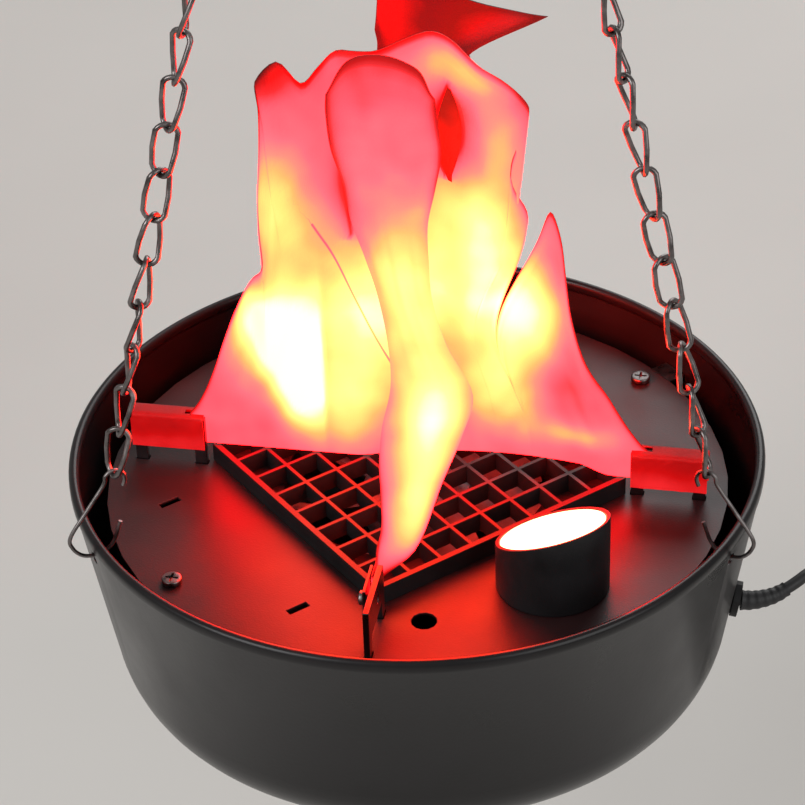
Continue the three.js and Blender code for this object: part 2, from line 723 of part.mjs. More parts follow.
function rimHookPoints() {
  const bearing = new THREE.Vector3(
    wallRadius(-rimHookDepth) - bowlWall / 2,
    0,
    rimHookHole - rimHookDepth - rimHookThickness / 2 - 2 * gap,
  );
  return rimHookShares.map(([x, z]) => new THREE.Vector3(x, 0, z).multiplyScalar(rimHookHeight).add(bearing));
}

// Top hook, an S in the YZ plane
function topHook() {
  const bend = (centre, radius, from, to) => Array.from({ length: 9 }, (_, i) => {
    const at = polar(radius + topHookThickness / 2, from + ((to - from) * i) / 8);
    return new THREE.Vector3(0, at.x, centre + at.y);
  });
  const upper = bend(-topHookBendRadius, topHookBendRadius, -40, 190);
  const line = [...upper, ...bend(eyeCentre, topHookEyeRadius, 10, -220)];
  return tube(smooth(line), topHookThickness / 2, 6, 30);
}

// Cord. Its route is chosen by hand, in millimetres from the gland's outer face, and ends at the top of
// the coil
const glandPlace = polar(wallRadius(-glandDepth), 0, -glandDepth);
const cordRoute = [
  [0, 0, 0], [4, 0, -0.7], [10, 1.5, -1], [17, 5, -0.5], [24, 10.5, 1.5], [30, 17, 3], [36, 24, 2],
  [41, 30, -3], [44.5, 35, -11], [46.5, 39, -20], [48, 44, -29], [49, 50, -35.5], [49.3, 57, -38.4],
  [49.3, 61, -38.7], [49.3, 64, -38.7],
];
const route = cordRoute.map(([x, y, z]) => new THREE.Vector3(x, y, z).add(glandPlace));
const routeCurve = smooth(route);

// The coil's line: from its top it spirals in over half of its turns, steps aside into a second layer
// and spirals out again, then runs straight down to the plug
const coilSpacing = cordDiameter + coilGap;
const outerLoop = coilRadius + (coilSpacing * coilTurns) / 4;
const coilSteps = 24;
const coilTop = route.at(-1).clone().add(new THREE.Vector3(0, cordDiameter + gap, 0));
const coilCentre = coilTop.clone().sub(new THREE.Vector3(coilSpacing / 2, 0, outerLoop));

function coilLoops() {
  const half = coilTurns / 2;
  return Array.from({ length: coilSteps * coilTurns + 1 }, (_, i) => {
    const done = i / coilSteps;
    const radius = coilRadius + coilSpacing * (Math.abs(done - half) - half / 2);
    const layer = THREE.MathUtils.clamp(half - done, -0.25, 0.25) * 2;
    const angle = turn * (0.25 - done);
    return coilCentre.clone()
      .add(new THREE.Vector3(layer * coilSpacing, radius * Math.cos(angle), radius * Math.sin(angle)));
  });
}

const loops = coilLoops();
const tailEnd = loops.at(-1).clone().sub(new THREE.Vector3(0, 0, coilTail));

// Least distance between two loops' surfaces, over points at least a quarter turn apart
function leastGap(points) {
  let least = Infinity;
  points.forEach((point, i) => points.slice(i + coilSteps / 4).forEach((other) => {
    least = Math.min(least, point.distanceTo(other) - cordDiameter);
  }));
  return least;
}

function coil() {
  const lead = coilTop.clone().sub(new THREE.Vector3(0, cordDiameter, 0));
  const tail = [1, 2, 3].map((k) => loops.at(-1).clone().lerp(tailEnd, k / 3));
  const line = [lead, ...loops, ...tail];
  console.log('least gap between the loops of the coil', leastGap(loops).toFixed(2));
  return tube(smooth(line), cordDiameter / 2, 6, line.length - 1);
}

// A band round all strands at the top of the coil
function coilTie() {
  const depth = (coilSpacing * coilTurns) / 2 + cordDiameter + 2 * gap;
  const width = coilSpacing + cordDiameter + 2 * gap;
  const band = slab(boxOutline(width + 2 * tieThickness, depth + 2 * tieThickness), tieWidth, -tieWidth / 2);
  const inside = slab(boxOutline(width, depth), tieWidth + 2 * overrun, -overrun - tieWidth / 2);
  return cut(band, inside).rotateX(Math.PI / 2).translate(0, 0, coilRadius);
}

// A round body along a curve, with a radius that changes evenly from one end to the other
function tapered(curve, from, to, startRadius, endRadius, sides, steps) {
  const points = [];
  const faces = [];
  for (let i = 0; i <= steps; i += 1) {
    const share = THREE.MathUtils.lerp(from, to, i / steps) / curve.getLength();
    const radius = THREE.MathUtils.lerp(startRadius, endRadius, i / steps);
    const centre = curve.getPointAt(share);
    const along = curve.getTangentAt(share);
    const across = upwards.clone().cross(along).normalize();
    for (let k = 0; k < sides; k += 1) {
      points.push(across.clone().applyAxisAngle(along, (turn * k) / sides).multiplyScalar(radius).add(centre));
    }
  }
  for (let i = 0; i < steps; i += 1) {
    for (let k = 0; k < sides; k += 1) {
      const [a, b] = [i * sides + k, i * sides + ((k + 1) % sides)];
      faces.push(a, b, b + sides, a, b + sides, a + sides);
    }
  }
  const top = steps * sides;
  for (let k = 1; k < sides - 1; k += 1) faces.push(0, k + 1, k, top, top + k, top + k + 1);
  return bodyOf(points, faces);
}

// Plug hanging pins down, with its cord end at zero
function plugBody() {
  const [half, neck, waist] = [plugWidth / 2, cordDiameter, plugThickness / 2];
  const face = upright([
    [-neck, 0], [-neck, -plugLength / 4], [-half, -plugLength / 2], [-half, -plugLength],
    [half, -plugLength], [half, -plugLength / 2], [neck, -plugLength / 4], [neck, 0],
  ], plugThickness);
  const side = upright([
    [-waist / 2, overrun], [-waist, -plugLength / 2], [-waist, -plugLength - overrun],
    [waist, -plugLength - overrun], [waist, -plugLength / 2], [waist / 2, overrun],
  ], 2 * plugWidth).rotateZ(Math.PI / 2);
  return common(face, side);
}

const plugPin = () => turned([
  [0, -pinLength], [pinRadius / 2, -pinLength], [pinRadius, -pinLength + pinRadius / 2], [pinRadius, 0], [0, 0],
], 10);

// Bowl, plate and grille
add('bowl_shell', bowl(), 'blackMetal');
add('top_plate', plate(), 'blackPlate');
add('grille', grille(), 'blackPlastic');
plateScrewAngles.forEach((angle, i) => {
  add(`plate_bracket_${i + 1}`, plateBracket(), 'steel').rotation.z = angle * degree;
  const held = add(`plate_screw_${i + 1}`, screw(plateScrew, plateScrew.length), 'steel');
  held.position.copy(polar(plateScrewRadius, angle, plateTop + gap));
});

// Silk arms and silk
for (const [side, angle] of Object.entries(armAngles)) {
  const carrier = new THREE.Group();
  carrier.rotation.z = angle * degree;
  lamp.add(carrier);
  add(`silk_arm_${side}`, silkArm(), 'blackMetal', carrier);
  add(`silk_clamp_${side}`, clampStrip(), 'blackMetal', carrier);
  add(`clamp_screw_${side}`, clampScrewBody(), 'steel', carrier);
}
add('silk_cross', crossSilk(), 'silk');
add('silk_front', tongueSilk(frontShares, frontCrestShares, -1), 'silk');
add('silk_back', tongueSilk(backShares, backCrestShares, 1), 'silk');

// Lamp pods
for (const [side, angle] of Object.entries(podAngles)) {
  const pod = new THREE.Group();
  pod.position.copy(polar(podPlaceRadius, angle, plateTop));
  pod.rotation.z = angle * degree;
  lamp.add(pod);
  add(`lamp_housing_${side}`, podHousing(), 'blackPlastic', pod);
  add(`lamp_lens_${side}`, podLens(), 'lens', pod);
  add(`led_board_${side}`, podBoard(), 'board', pod);
  add(`heat_sink_${side}`, podSink(), 'aluminium', pod);
}

// Fan, turned with the grille
const fan = new THREE.Group();
fan.position.z = fanBottom;
fan.rotation.z = 45 * degree;
lamp.add(fan);
const bearing = washer(bearingRadius, shaftRadius + gap, bearingHeight, 10);
const windings = postTop - motorSeatDepth - 2 * gap;
const stator = washer(hubRadius - hubWall - 2 * gap, bearingTube + gap, windings, 16);
add('fan_frame', fanFrame(), 'blackPlastic', fan);
add('fan_impeller', impeller(), 'greyPlastic', fan);
add('fan_stator', stator, 'copper', fan).position.z = motorSeatDepth + gap;
add('fan_bearing_bottom', bearing, 'steel', fan).position.z = motorSeatFloor + gap;
add('fan_bearing_top', bearing, 'steel', fan).position.z = postTop - bearingHeight;
fanCorners.forEach((angle, i) => {
  const held = add(`fan_screw_${i + 1}`, screw(fanScrew, fanDepth + plateThickness + 2 * gap), 'steel', fan);
  held.rotation.x = Math.PI;
  held.position.copy(polar(fanScrewPlaceRadius, angle, -gap));
});

// Electrics on the floor
add('lamp_driver', lampDriver(), 'greyPlastic').position.set(driverBox.place, 0, floorTop + gap);
add('terminal_block', terminalBlock(), 'board').position.set(terminalBox.place, 0, floorTop + gap);

// Cord gland, its nut, and the lead inside the bowl
const gland = new THREE.Group();
gland.position.copy(glandPlace);
gland.rotation.y = Math.PI / 2 + wallLean;
lamp.add(gland);
const nutTop = -bowlWall - 3 * gap;
const glandInside = nutTop - nutHeight - gap;
const glandBore = (cordDiameter / 2 + gap) / Math.cos(Math.PI / 12);
add('cord_gland', turned([
  [glandBore, glandFlange], [glandBore, glandInside], [glandShank, glandInside], [glandShank, gap],
  [glandRadius, gap], [glandRadius, glandFlange], [glandBore, glandFlange],
], 12), 'blackPlastic', gland);
add('gland_nut', cut(
  slab(roundOutline(glandRadius + gap, 6), nutHeight, nutTop - nutHeight),
  hole(glandShank + gap, nutHeight + 2 * overrun, nutTop - nutHeight - overrun, 12),
), 'blackPlastic', gland);

// Strain relief, cord, coil, tie and plug
const bootStart = glandFlange + 2 * gap;
const bootEnd = bootStart + bootLength;
const cordRadius = cordDiameter / 2;
const freeCord = stretch(routeCurve, bootEnd + gap, routeCurve.getLength(), 20);
add('strain_relief', tapered(routeCurve, bootStart, bootEnd, bootRadius, bootTip, 10, 5), 'cord');
add('power_cord', tube(freeCord, cordRadius, 8, 14), 'cord');
add('cord_coil', coil(), 'cord');
add('cord_tie', coilTie(), 'greyPlastic').position.copy(coilCentre);
const plug = new THREE.Group();
plug.position.copy(tailEnd).sub(new THREE.Vector3(0, 0, gap));
plug.rotation.z = Math.PI / 2;
lamp.add(plug);
add('plug_body', plugBody(), 'cord', plug);
[-1, 1].forEach((side, i) => {
  add(`plug_pin_${i + 1}`, plugPin(), 'brass', plug)
    .position.set((side * pinSpacing) / 2, 0, -plugLength - gap);
});

// The lead inside runs from the gland's outer face, straight through it and down to the terminal block
const onGland = (z) => new THREE.Vector3(0, 0, z).applyEuler(gland.rotation).add(glandPlace);
const inlet = onGland(glandInside - cordDiameter);
const outlet = new THREE.Vector3(
  terminalBox.place + terminalBox.length / 2 + gap,
  0,
  floorTop + gap + terminalBox.height / 2,
);
const innerShares = [[0.12, 0.08], [0.27, 0.3], [0.5, 0.72], [0.7, 0.92], [0.88, 1], [1, 1]];
const innerLead = smooth([
  onGland(glandFlange), onGland(0), onGland(glandInside), inlet,
  ...innerShares.map(([x, z]) => new THREE.Vector3(
    THREE.MathUtils.lerp(inlet.x, outlet.x, x),
    0,
    THREE.MathUtils.lerp(inlet.z, outlet.z, z),
  )),
]);
add('mains_tail', tube(innerLead, cordRadius, 8, 12), 'cord');

// Chains, rim hooks, ring and top hook
const ringMiddle = new THREE.Vector3(0, 0, chainHeight + ringRadius);
const ringAngles = { left: -ringSpreadAngle, back: 0, right: ringSpreadAngle };
for (const [side, angle] of Object.entries(chainAngles)) {
  const points = rimHookPoints();
  const hook = tube(smooth(points), rimHookThickness / 2, 4, 34);
  add(`rim_hook_${side}`, hook, 'steel').rotation.z = angle * degree;
  const bend = points[rimHookBend].clone().applyAxisAngle(upwards, angle * degree);
  const seat = polar(ringRadius, ringAngles[side] - 90);
  const onRing = ringMiddle.clone().add(new THREE.Vector3(seat.x, 0, seat.y));
  add(`chain_${side}`, chain(bend, onRing, polar(1, angle), polar(1, 0)), 'steel');
}
const ring = new THREE.TorusGeometry(ringRadius, ringThickness / 2, 6, 20).rotateX(Math.PI / 2);
add('hanging_ring', ring, 'steel', object).position.z = ringCentre;
add('top_hook', topHook(), 'steel', object);

export default object;
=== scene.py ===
# %% [markdown]
# # Silk flame effect light
# A black bowl hangs on three chains. A fan inside it blows air up through a square grille, and two lamp
# pods shine on two crossed cuts of white silk, which stand in the moving air and look like a fire.
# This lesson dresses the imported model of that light. Before each piece it says what the piece is on the
# real object, how it could be made, and why this way was chosen.

# %% [markdown]
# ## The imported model
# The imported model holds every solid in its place. A solid whose shape is right keeps that shape and gets a
# finish. The others are hidden, and a finer piece stands in the same spot. Sizes below are in millimetres,
# measured from the middle of the bowl's rim, because that is where the real light would be measured.

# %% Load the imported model
import math

import bpy
from mathutils import Matrix, Vector, noise


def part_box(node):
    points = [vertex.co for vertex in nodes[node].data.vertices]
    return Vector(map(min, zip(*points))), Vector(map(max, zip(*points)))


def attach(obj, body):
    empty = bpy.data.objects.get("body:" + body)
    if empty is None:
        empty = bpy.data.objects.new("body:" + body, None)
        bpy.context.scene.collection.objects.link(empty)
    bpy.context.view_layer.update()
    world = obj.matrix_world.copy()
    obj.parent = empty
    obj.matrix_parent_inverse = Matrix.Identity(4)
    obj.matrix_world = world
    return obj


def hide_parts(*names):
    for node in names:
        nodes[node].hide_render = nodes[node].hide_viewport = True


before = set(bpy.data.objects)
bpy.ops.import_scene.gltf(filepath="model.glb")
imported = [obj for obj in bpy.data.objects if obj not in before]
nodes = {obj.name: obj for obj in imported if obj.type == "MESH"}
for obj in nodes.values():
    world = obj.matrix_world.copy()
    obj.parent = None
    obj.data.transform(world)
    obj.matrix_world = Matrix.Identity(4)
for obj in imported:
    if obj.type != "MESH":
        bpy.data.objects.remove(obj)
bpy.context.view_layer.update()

MM = 0.001
rim_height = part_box("bowl_shell")[1].z
print(len(nodes), "solids, with the rim at", round(rim_height, 4), "m")

# %% Places in millimetres
def at_rim(x, y, z=0.0):
    """A place measured in millimetres from the middle of the rim's plane, in the model's metres."""
    return Vector((x * MM, y * MM, z * MM + rim_height))

# %% [markdown]
# ## The camera
# The photograph looks down into the bowl at about 35 degrees, from 1.1 m away, with a long lens. A lens of
# 124 mm keeps the bowl's rim as round as it is there. A short lens from nearer would widen the front.

# %% Camera at the photograph's angle
def linked(thing):
    """Puts a new object into the scene."""
    bpy.context.scene.collection.objects.link(thing)
    return thing


camera_place, camera_turn, camera_lens = (176.9, -897.2, 646.7), (55.508, 1.632, 10.341), 124.2
camera_data = bpy.data.cameras.new("photo_camera")
camera_data.lens = camera_lens
camera_data.clip_start = 50 * MM
camera = linked(bpy.data.objects.new("photo_camera", camera_data))
camera.location = at_rim(*camera_place)
camera.rotation_euler = [math.radians(angle) for angle in camera_turn]
bpy.context.scene.camera = camera
print("camera at", [round(x, 3) for x in camera.location])

# %% [markdown]
# ## Lines, wires and cords
# A wire or a cord is a round body along a smooth line. The line is given by a few points, and a smooth
# cubic curve passes through all of them, so a bend goes exactly where it was measured. A curve with a bevel
# depth gives the round section, and it is turned into a mesh so that its ends can be closed.

# %% A smooth line through points
def on_line(points, share):
    """A point on the smooth line through the points, from 0 at the first to 1 at the last."""
    spans = len(points) - 1
    at = min(max(share, 0.0), 1.0) * spans
    span = min(int(at), spans - 1)
    part = at - span
    b, c = points[span], points[span + 1]
    a = points[span - 1] if span > 0 else b * 2 - c
    d = points[span + 2] if span + 2 <= spans else c * 2 - b
    return 0.5 * (
        2 * b + (c - a) * part
        + (2 * a - 5 * b + 4 * c - d) * part ** 2
        + (3 * b - a - 3 * c + d) * part ** 3
    )


def smooth_line(points, steps):
    """The same line with that many straight steps between each two points."""
    spans = (len(points) - 1) * steps
    return [on_line(points, i / spans) for i in range(spans + 1)]

# %% Choosing and opening a piece
def start():
    """Leaves edit mode and deselects everything, because an operator acts on all that is selected."""
    if bpy.context.object and bpy.context.object.mode != "OBJECT":
        bpy.ops.object.mode_set(mode="OBJECT")
    bpy.ops.object.select_all(action="DESELECT")


def choose(piece):
    """Makes one piece the selected and active one."""
    start()
    piece.select_set(True)
    bpy.context.view_layer.objects.active = piece
    return piece


def opened(piece):
    """Opens edit mode on a piece, with all of it selected."""
    choose(piece)
    bpy.ops.object.mode_set(mode="EDIT")
    bpy.ops.mesh.select_all(action="SELECT")
    return piece


def closed():
    """Leaves edit mode and hands back the piece that was open."""
    bpy.ops.object.mode_set(mode="OBJECT")
    return bpy.context.object

# %% A round body along a line
def wire(name, points, thickness, sides=12, widths=None):
    """A round wire along points in metres. The widths are shares of its thickness, one for each point."""
    start()
    line = bpy.data.curves.new(name, "CURVE")
    line.dimensions = "3D"
    line.bevel_depth = thickness * MM / 2
    line.bevel_resolution = (sides - 4) // 2
    line.use_fill_caps = True
    spline = line.splines.new("POLY")
    spline.points.add(len(points) - 1)
    for i, point in enumerate(points):
        spline.points[i].co = (*point, 1)
        spline.points[i].radius = widths[i] if widths else 1.0
    choose(linked(bpy.data.objects.new(name, line)))
    bpy.ops.object.convert(target="MESH")
    return cleaned(bpy.context.object)

# %% [markdown]
# ## Finishing a piece
# Every piece ends the same way. Its place goes into its mesh, so that a pattern on object coordinates stays
# put when the light swings. It gets its finish, rides on its body, and the solid it stands for is hidden.

# %% Clean mesh, faces outwards
def cleaned(piece, merge=0.001):
    """Merges doubled corners and turns all faces outwards."""
    opened(piece)
    bpy.ops.mesh.remove_doubles(threshold=merge * MM)
    bpy.ops.mesh.normals_make_consistent(inside=False)
    return closed()


def settled(piece):
    """Puts a piece's place, turn and size into its mesh."""
    choose(piece)
    bpy.ops.object.transform_apply(location=True, rotation=True, scale=True)
    return piece

# %% Name, finish and body
def done(piece, name, look, replaced=(), body="lamp", smooth=35):
    """Finishes a piece: edges sharper than the smooth angle in degrees stay sharp."""
    settled(piece)
    piece.name = name
    piece.data.name = name
    piece.data.materials.clear()
    piece.data.materials.append(look)
    bpy.ops.object.shade_smooth_by_angle(angle=math.radians(smooth))
    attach(piece, body)
    if replaced:
        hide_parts(*replaced)
    print(name, "has", len(piece.data.polygons), "faces")
    return piece

# %% [markdown]
# ## Finishes
# A finish starts from what the real surface is. Colours are written as on a screen and turned into the
# linear values that the renderer works in. A pattern's scale is one over its size in metres, so every
# pattern below is given by a real size in millimetres.

# %% Colours, pattern sizes and nodes
def paint(shade):
    """A colour written as six hex digits, as the renderer's linear red, green, blue and alpha."""
    parts = [int(shade[i:i + 2], 16) / 255 for i in (1, 3, 5)]
    return (*[p / 12.92 if p <= 0.04045 else ((p + 0.055) / 1.055) ** 2.4 for p in parts], 1.0)


def per(size):
    """The scale of a pattern whose features are that many millimetres apart."""
    return 1 / (size * MM)


def filled(tree, node, inputs):
    """Puts a value or another node's output in each named socket of a node."""
    for socket, value in inputs.items():
        if isinstance(value, bpy.types.NodeSocket):
            tree.links.new(value, node.inputs[socket])
        else:
            node.inputs[socket].default_value = value
    return node


def add_node(tree, kind, inputs, stops=(), **settings):
    """Adds a node, with its settings, its colour stops and what goes into its sockets."""
    node = tree.nodes.new("ShaderNode" + kind)
    for setting, value in settings.items():
        setattr(node, setting, value)
    for i, (place, shade) in enumerate(stops):
        stop = node.color_ramp.elements[i] if i < 2 else node.color_ramp.elements.new(place)
        stop.position = place
        stop.color = paint(shade)
    return filled(tree, node, inputs)

# %% New finishes
def new_look(name):
    """A new finish with its nodes and its main shader."""
    look = bpy.data.materials.new(name)
    look.use_nodes = True
    return look, look.node_tree, look.node_tree.nodes["Principled BSDF"]

# %% A plain surface with grain
drift_from, drift_to = 0.3, 0.7


def surface(name, dark, light, patch, grain, height, rough, **constants):
    """A finish whose colour drifts between two shades over patches, with a fine grain in its relief.
    Patch, grain and height are in millimetres, and rough is the least and the greatest roughness."""
    look, tree, shader = new_look(name)
    place = add_node(tree, "TexCoord", {}).outputs["Object"]
    drift = add_node(tree, "TexNoise", {"Vector": place, "Scale": per(patch), "Detail": 4.0})
    drift = drift.outputs["Fac"]
    fine = add_node(tree, "TexNoise", {"Vector": place, "Scale": per(grain), "Detail": 2.0})
    tone = add_node(tree, "ValToRGB", {"Fac": drift}, stops=[(drift_from, dark), (drift_to, light)])
    spread = add_node(tree, "MapRange", {"Value": drift, "From Min": drift_from, "From Max": drift_to,
                                         "To Min": rough[0], "To Max": rough[1]})
    relief = add_node(tree, "Bump", {"Height": fine.outputs["Fac"], "Distance": height * MM,
                                     "Strength": 1.0})
    filled(tree, shader, {"Base Color": tone.outputs["Color"], "Roughness": spread.outputs["Result"],
                          "Normal": relief.outputs["Normal"],
                          **{socket.replace("_", " "): value for socket, value in constants.items()}})
    return look

# %% [markdown]
# ### Metals, plastics and rubber
# The bowl is pressed steel with baked black enamel: smooth, with a faint orange-peel relief. The plate is
# powder coated, which is duller and has a finer, denser grain. Its shades are black with a painted red cast,
# which stands in for the silk's red light on it. The silk arms and their clamps are blued steel, a dark
# metal that takes on the red of the light. Grille, pods and fan are moulded ABS, which is matt and even.
# Wire is zinc plated steel that has darkened, and it keeps a soft gloss. The lead is PVC.
# Most of this grain is finer than 0.3 mm and would not show in the render, so it is drawn at 0.4 to 0.7 mm.
# The orange-peel relief has its real size, 1.6 mm.

# %% The finishes
enamel = surface("stove_enamel", "#0b0a0b", "#151315", 40, 1.6, 0.02, (0.26, 0.38), Coat_Weight=0.1,
                 Coat_Roughness=0.15, Specular_IOR_Level=0.25, IOR=1.5)
# The plate's shades carry a painted red cast of the silk's light.
powder = surface("powder_coat", "#1e1011", "#2c1718", 30, 0.7, 0.05, (0.34, 0.46), Specular_IOR_Level=0.3,
                 IOR=1.5)
moulded = surface("black_abs", "#111112", "#1b1a1c", 18, 0.6, 0.04, (0.42, 0.55), Specular_IOR_Level=0.35,
                  IOR=1.46)
grey_moulded = surface("grey_abs", "#46484c", "#5b5d61", 18, 0.6, 0.04, (0.42, 0.55), IOR=1.46)
blued = surface("blued_steel", "#4a4345", "#6a6163", 14, 0.6, 0.02, (0.26, 0.38), Metallic=1.0)
zinc = surface("zinc_plated_wire", "#524d4c", "#878180", 5, 0.5, 0.03, (0.24, 0.42), Metallic=1.0)
brass = surface("nickel_plated_brass", "#b9aa8c", "#d3c6a8", 6, 0.4, 0.01, (0.2, 0.32), Metallic=1.0)
aluminium = surface("turned_aluminium", "#9c9ea1", "#b9bbbd", 8, 0.4, 0.02, (0.28, 0.4), Metallic=1.0)
copper = surface("enamelled_copper", "#8a4a2c", "#b8683d", 3, 0.4, 0.05, (0.3, 0.45), Metallic=1.0)
board = surface("white_solder_mask", "#d9d7cf", "#ecebe5", 12, 0.5, 0.01, (0.35, 0.5), IOR=1.5)
rubber = surface("black_pvc", "#121214", "#1d1d20", 10, 0.5, 0.03, (0.45, 0.6), IOR=1.5)
print(len(bpy.data.materials), "finishes")

# %% [markdown]
# ## The mains lead
# The lead leaves the bowl's wall low on the right and runs out of the photograph. A real one is about 1.5 m
# long, so what is out of view is wound into a coil with a tie, and hangs beside the bowl. The line below is
# the one that the solid model follows: listed to the top of the coil, then loops worked out from the
# cord's thickness. Each loop spirals in, steps aside into a second layer and spirals out again.

# %% The lead's line
cord_thickness = 5.0
cord_gap = 0.6
gland_place = Vector((129.69, 0.0, -66.0))
coil_radius = 36.0
coil_turns = 6.25
coil_steps = 48
coil_gap = 0.3
coil_tail, tail_steps = 24.0, 6
layer_change = 0.25
lead_route = [
    (0, 0, 0), (4, 0, -0.7), (10, 1.5, -1), (17, 5, -0.5), (24, 10.5, 1.5), (30, 17, 3), (36, 24, 2),
    (41, 30, -3), (44.5, 35, -11), (46.5, 39, -20), (48, 44, -29), (49, 50, -35.5), (49.3, 57, -38.4),
    (49.3, 61, -38.7), (49.3, 64, -38.7),
]
route = [Vector(place) + gland_place for place in lead_route]
print("route of", len(route), "places")

# %% The coil's loops
loop_pitch = cord_thickness + cord_gap
outer_loop = coil_radius + loop_pitch * coil_turns / 4
coil_top = route[-1] + Vector((0, cord_thickness + coil_gap, 0))
coil_centre = coil_top - Vector((loop_pitch / 2, 0, outer_loop))


def loop_place(done_turns):
    """Where the cord lies on the coil after that many turns."""
    half = coil_turns / 2
    radius = coil_radius + loop_pitch * (abs(done_turns - half) - half / 2)
    layer = min(max(half - done_turns, -layer_change), layer_change) / (2 * layer_change)
    angle = 2 * math.pi * (0.25 - done_turns)
    return coil_centre + Vector((layer * loop_pitch, radius * math.cos(angle), radius * math.sin(angle)))


loops = [loop_place(i / coil_steps) for i in range(int(coil_steps * coil_turns) + 1)]
tail = [loops[-1] - Vector((0, 0, coil_tail * k / tail_steps)) for k in range(1, tail_steps + 1)]
lead_line = [at_rim(*place) for place in smooth_line(route, 4) + loops + tail]
lead_length = sum((b - a).length for a, b in zip(lead_line, lead_line[1:]))
print("lead is", round(lead_length, 3), "m long")

# %% The lead as one cord
lead = wire("mains_lead", lead_line, cord_thickness)
done(lead, "mains_lead", rubber, ["power_cord", "cord_coil"], smooth=60)

# %% [markdown]
# ### Strain relief, tie and plug
# The strain relief is a soft ribbed sleeve that keeps the lead from kinking at the gland. It is the same
# kind of line with a changing width. The plug and its tie keep the shape of their solids: a copy is merged,
# its flat triangles are joined, and its edges are rounded, as a moulded piece's are.

# %% Modifiers and copies
def applied(piece, kind, **settings):
    """Adds a modifier with its settings and applies it."""
    choose(piece)
    modifier = piece.modifiers.new(kind.lower(), kind)
    for setting, value in settings.items():
        setattr(modifier, setting, value)
    bpy.ops.object.modifier_apply(modifier=modifier.name)
    return piece


def bevelled(piece, radius, segments=3, angle=40, **settings):
    """Rounds all edges sharper than an angle in degrees by a radius in millimetres."""
    return applied(piece, "BEVEL", width=radius * MM, segments=segments, limit_method="ANGLE",
                   angle_limit=math.radians(angle), **settings)


def copied(piece):
    """A copy of a piece with a mesh of its own."""
    copy = piece.copy()
    copy.data = piece.data.copy()
    return linked(copy)

# %% Rounded copies of solids
def rounded(solid, radius, look, segments=2, name=None):
    """A copy of a solid with its edges rounded by a radius in millimetres. It stands for the solid."""
    piece = copied(nodes[solid])
    piece.parent = None
    for key in list(piece.keys()):
        del piece[key]
    piece.hide_render = False
    piece.hide_viewport = False
    opened(cleaned(piece))
    bpy.ops.mesh.dissolve_limited(angle_limit=math.radians(1))
    closed()
    bevelled(piece, radius, segments, angle=30, use_clamp_overlap=True, harden_normals=False)
    done(piece, name or solid + "_rounded", look, [solid], smooth=50)
    return applied(piece, "WEIGHTED_NORMAL", keep_sharp=True)

# %% Strain relief
def mixed(low, high, share):
    """The number that lies that share of the way from low to high."""
    return low + (high - low) * share


boot_start, boot_length, boot_ribs = 3.6, 20.0, 6
boot_wide, boot_narrow, rib_depth = 8.6, 6.2, 0.5
fine_route = smooth_line(route, 40)
walked = [0.0]
for a, b in zip(fine_route, fine_route[1:]):
    walked.append(walked[-1] + (b - a).length)
boot_line = []
boot_widths = []
for place, distance in zip(fine_route, walked):
    if boot_start <= distance <= boot_start + boot_length:
        share = (distance - boot_start) / boot_length
        rib = rib_depth * (0.5 - 0.5 * math.cos(2 * math.pi * boot_ribs * share))
        boot_line.append(at_rim(*place))
        boot_widths.append((mixed(boot_wide, boot_narrow, share) - rib) / boot_wide)
boot = wire("strain_relief_sleeve", boot_line, boot_wide, sides=24, widths=boot_widths)
done(boot, "strain_relief_sleeve", rubber, ["strain_relief"], smooth=60)

# %% Plug, pins and tie
plug = rounded("plug_body", 1.6, rubber, segments=3, name="plug_moulding")
pins = [rounded(f"plug_pin_{i}", 0.3, brass, name=f"plug_pin_round_{i}") for i in (1, 2)]
tie = rounded("cord_tie", 0.3, grey_moulded, name="cord_tie_band")

# %% [markdown]
# ## The bowl
# The bowl is pressed from sheet steel 1.5 mm thick, with a rolled rim. It is drawn as half of its section,
# as it would be drawn for a lathe: one corner is extruded from point to point, and the line is spun round
# the upright axis. Spinning gives an even wall, and the rolled rim catches the light as the real one does.

# %% A drawn line and a spun body
def extruded(move):
    """Extrudes what is selected by a move in metres."""
    bpy.ops.mesh.extrude_region_move(TRANSFORM_OT_translate={"value": move})


def drawn(points):
    """A line drawn by extruding one corner from point to point. Edit mode stays open."""
    start()
    bpy.ops.mesh.primitive_plane_add(size=MM, location=points[0])
    opened(bpy.context.object)
    bpy.ops.mesh.merge(type="COLLAPSE")
    for a, b in zip(points, points[1:]):
        extruded(b - a)


def spun(section, steps):
    """Spins a section of (radius, height) pairs in millimetres, from the rim's plane, about the upright."""
    drawn([at_rim(radius, 0, height) for radius, height in section])
    bpy.ops.mesh.select_all(action="SELECT")
    bpy.ops.mesh.spin(steps=steps, angle=2 * math.pi, center=at_rim(0, 0), axis=(0, 0, 1))
    return cleaned(settled(closed()), merge=0.01)

# %% The bowl's section
rim_radius, rim_width, rim_depth, rim_curl = 140.0, 4.0, 5.0, 0.6
bowl_wall, bowl_height = 1.5, 103.0
shoulder_depth, shoulder_inset, base_radius = 76.0, 12.0, 98.0
shoulder_radius = rim_radius - shoulder_inset


def knuckle(inset, steps=12):
    """The rounded corner between the wall and the base, that far inside the outer face."""
    ends = [Vector((shoulder_radius - inset, -shoulder_depth)),
            Vector((shoulder_radius - shoulder_inset / 4 - inset, inset - bowl_height)),
            Vector((base_radius, inset - bowl_height))]
    shares = [i / steps for i in range(steps + 1)]
    return [tuple(ends[0] * (1 - t) ** 2 + ends[1] * 2 * t * (1 - t) + ends[2] * t ** 2) for t in shares]


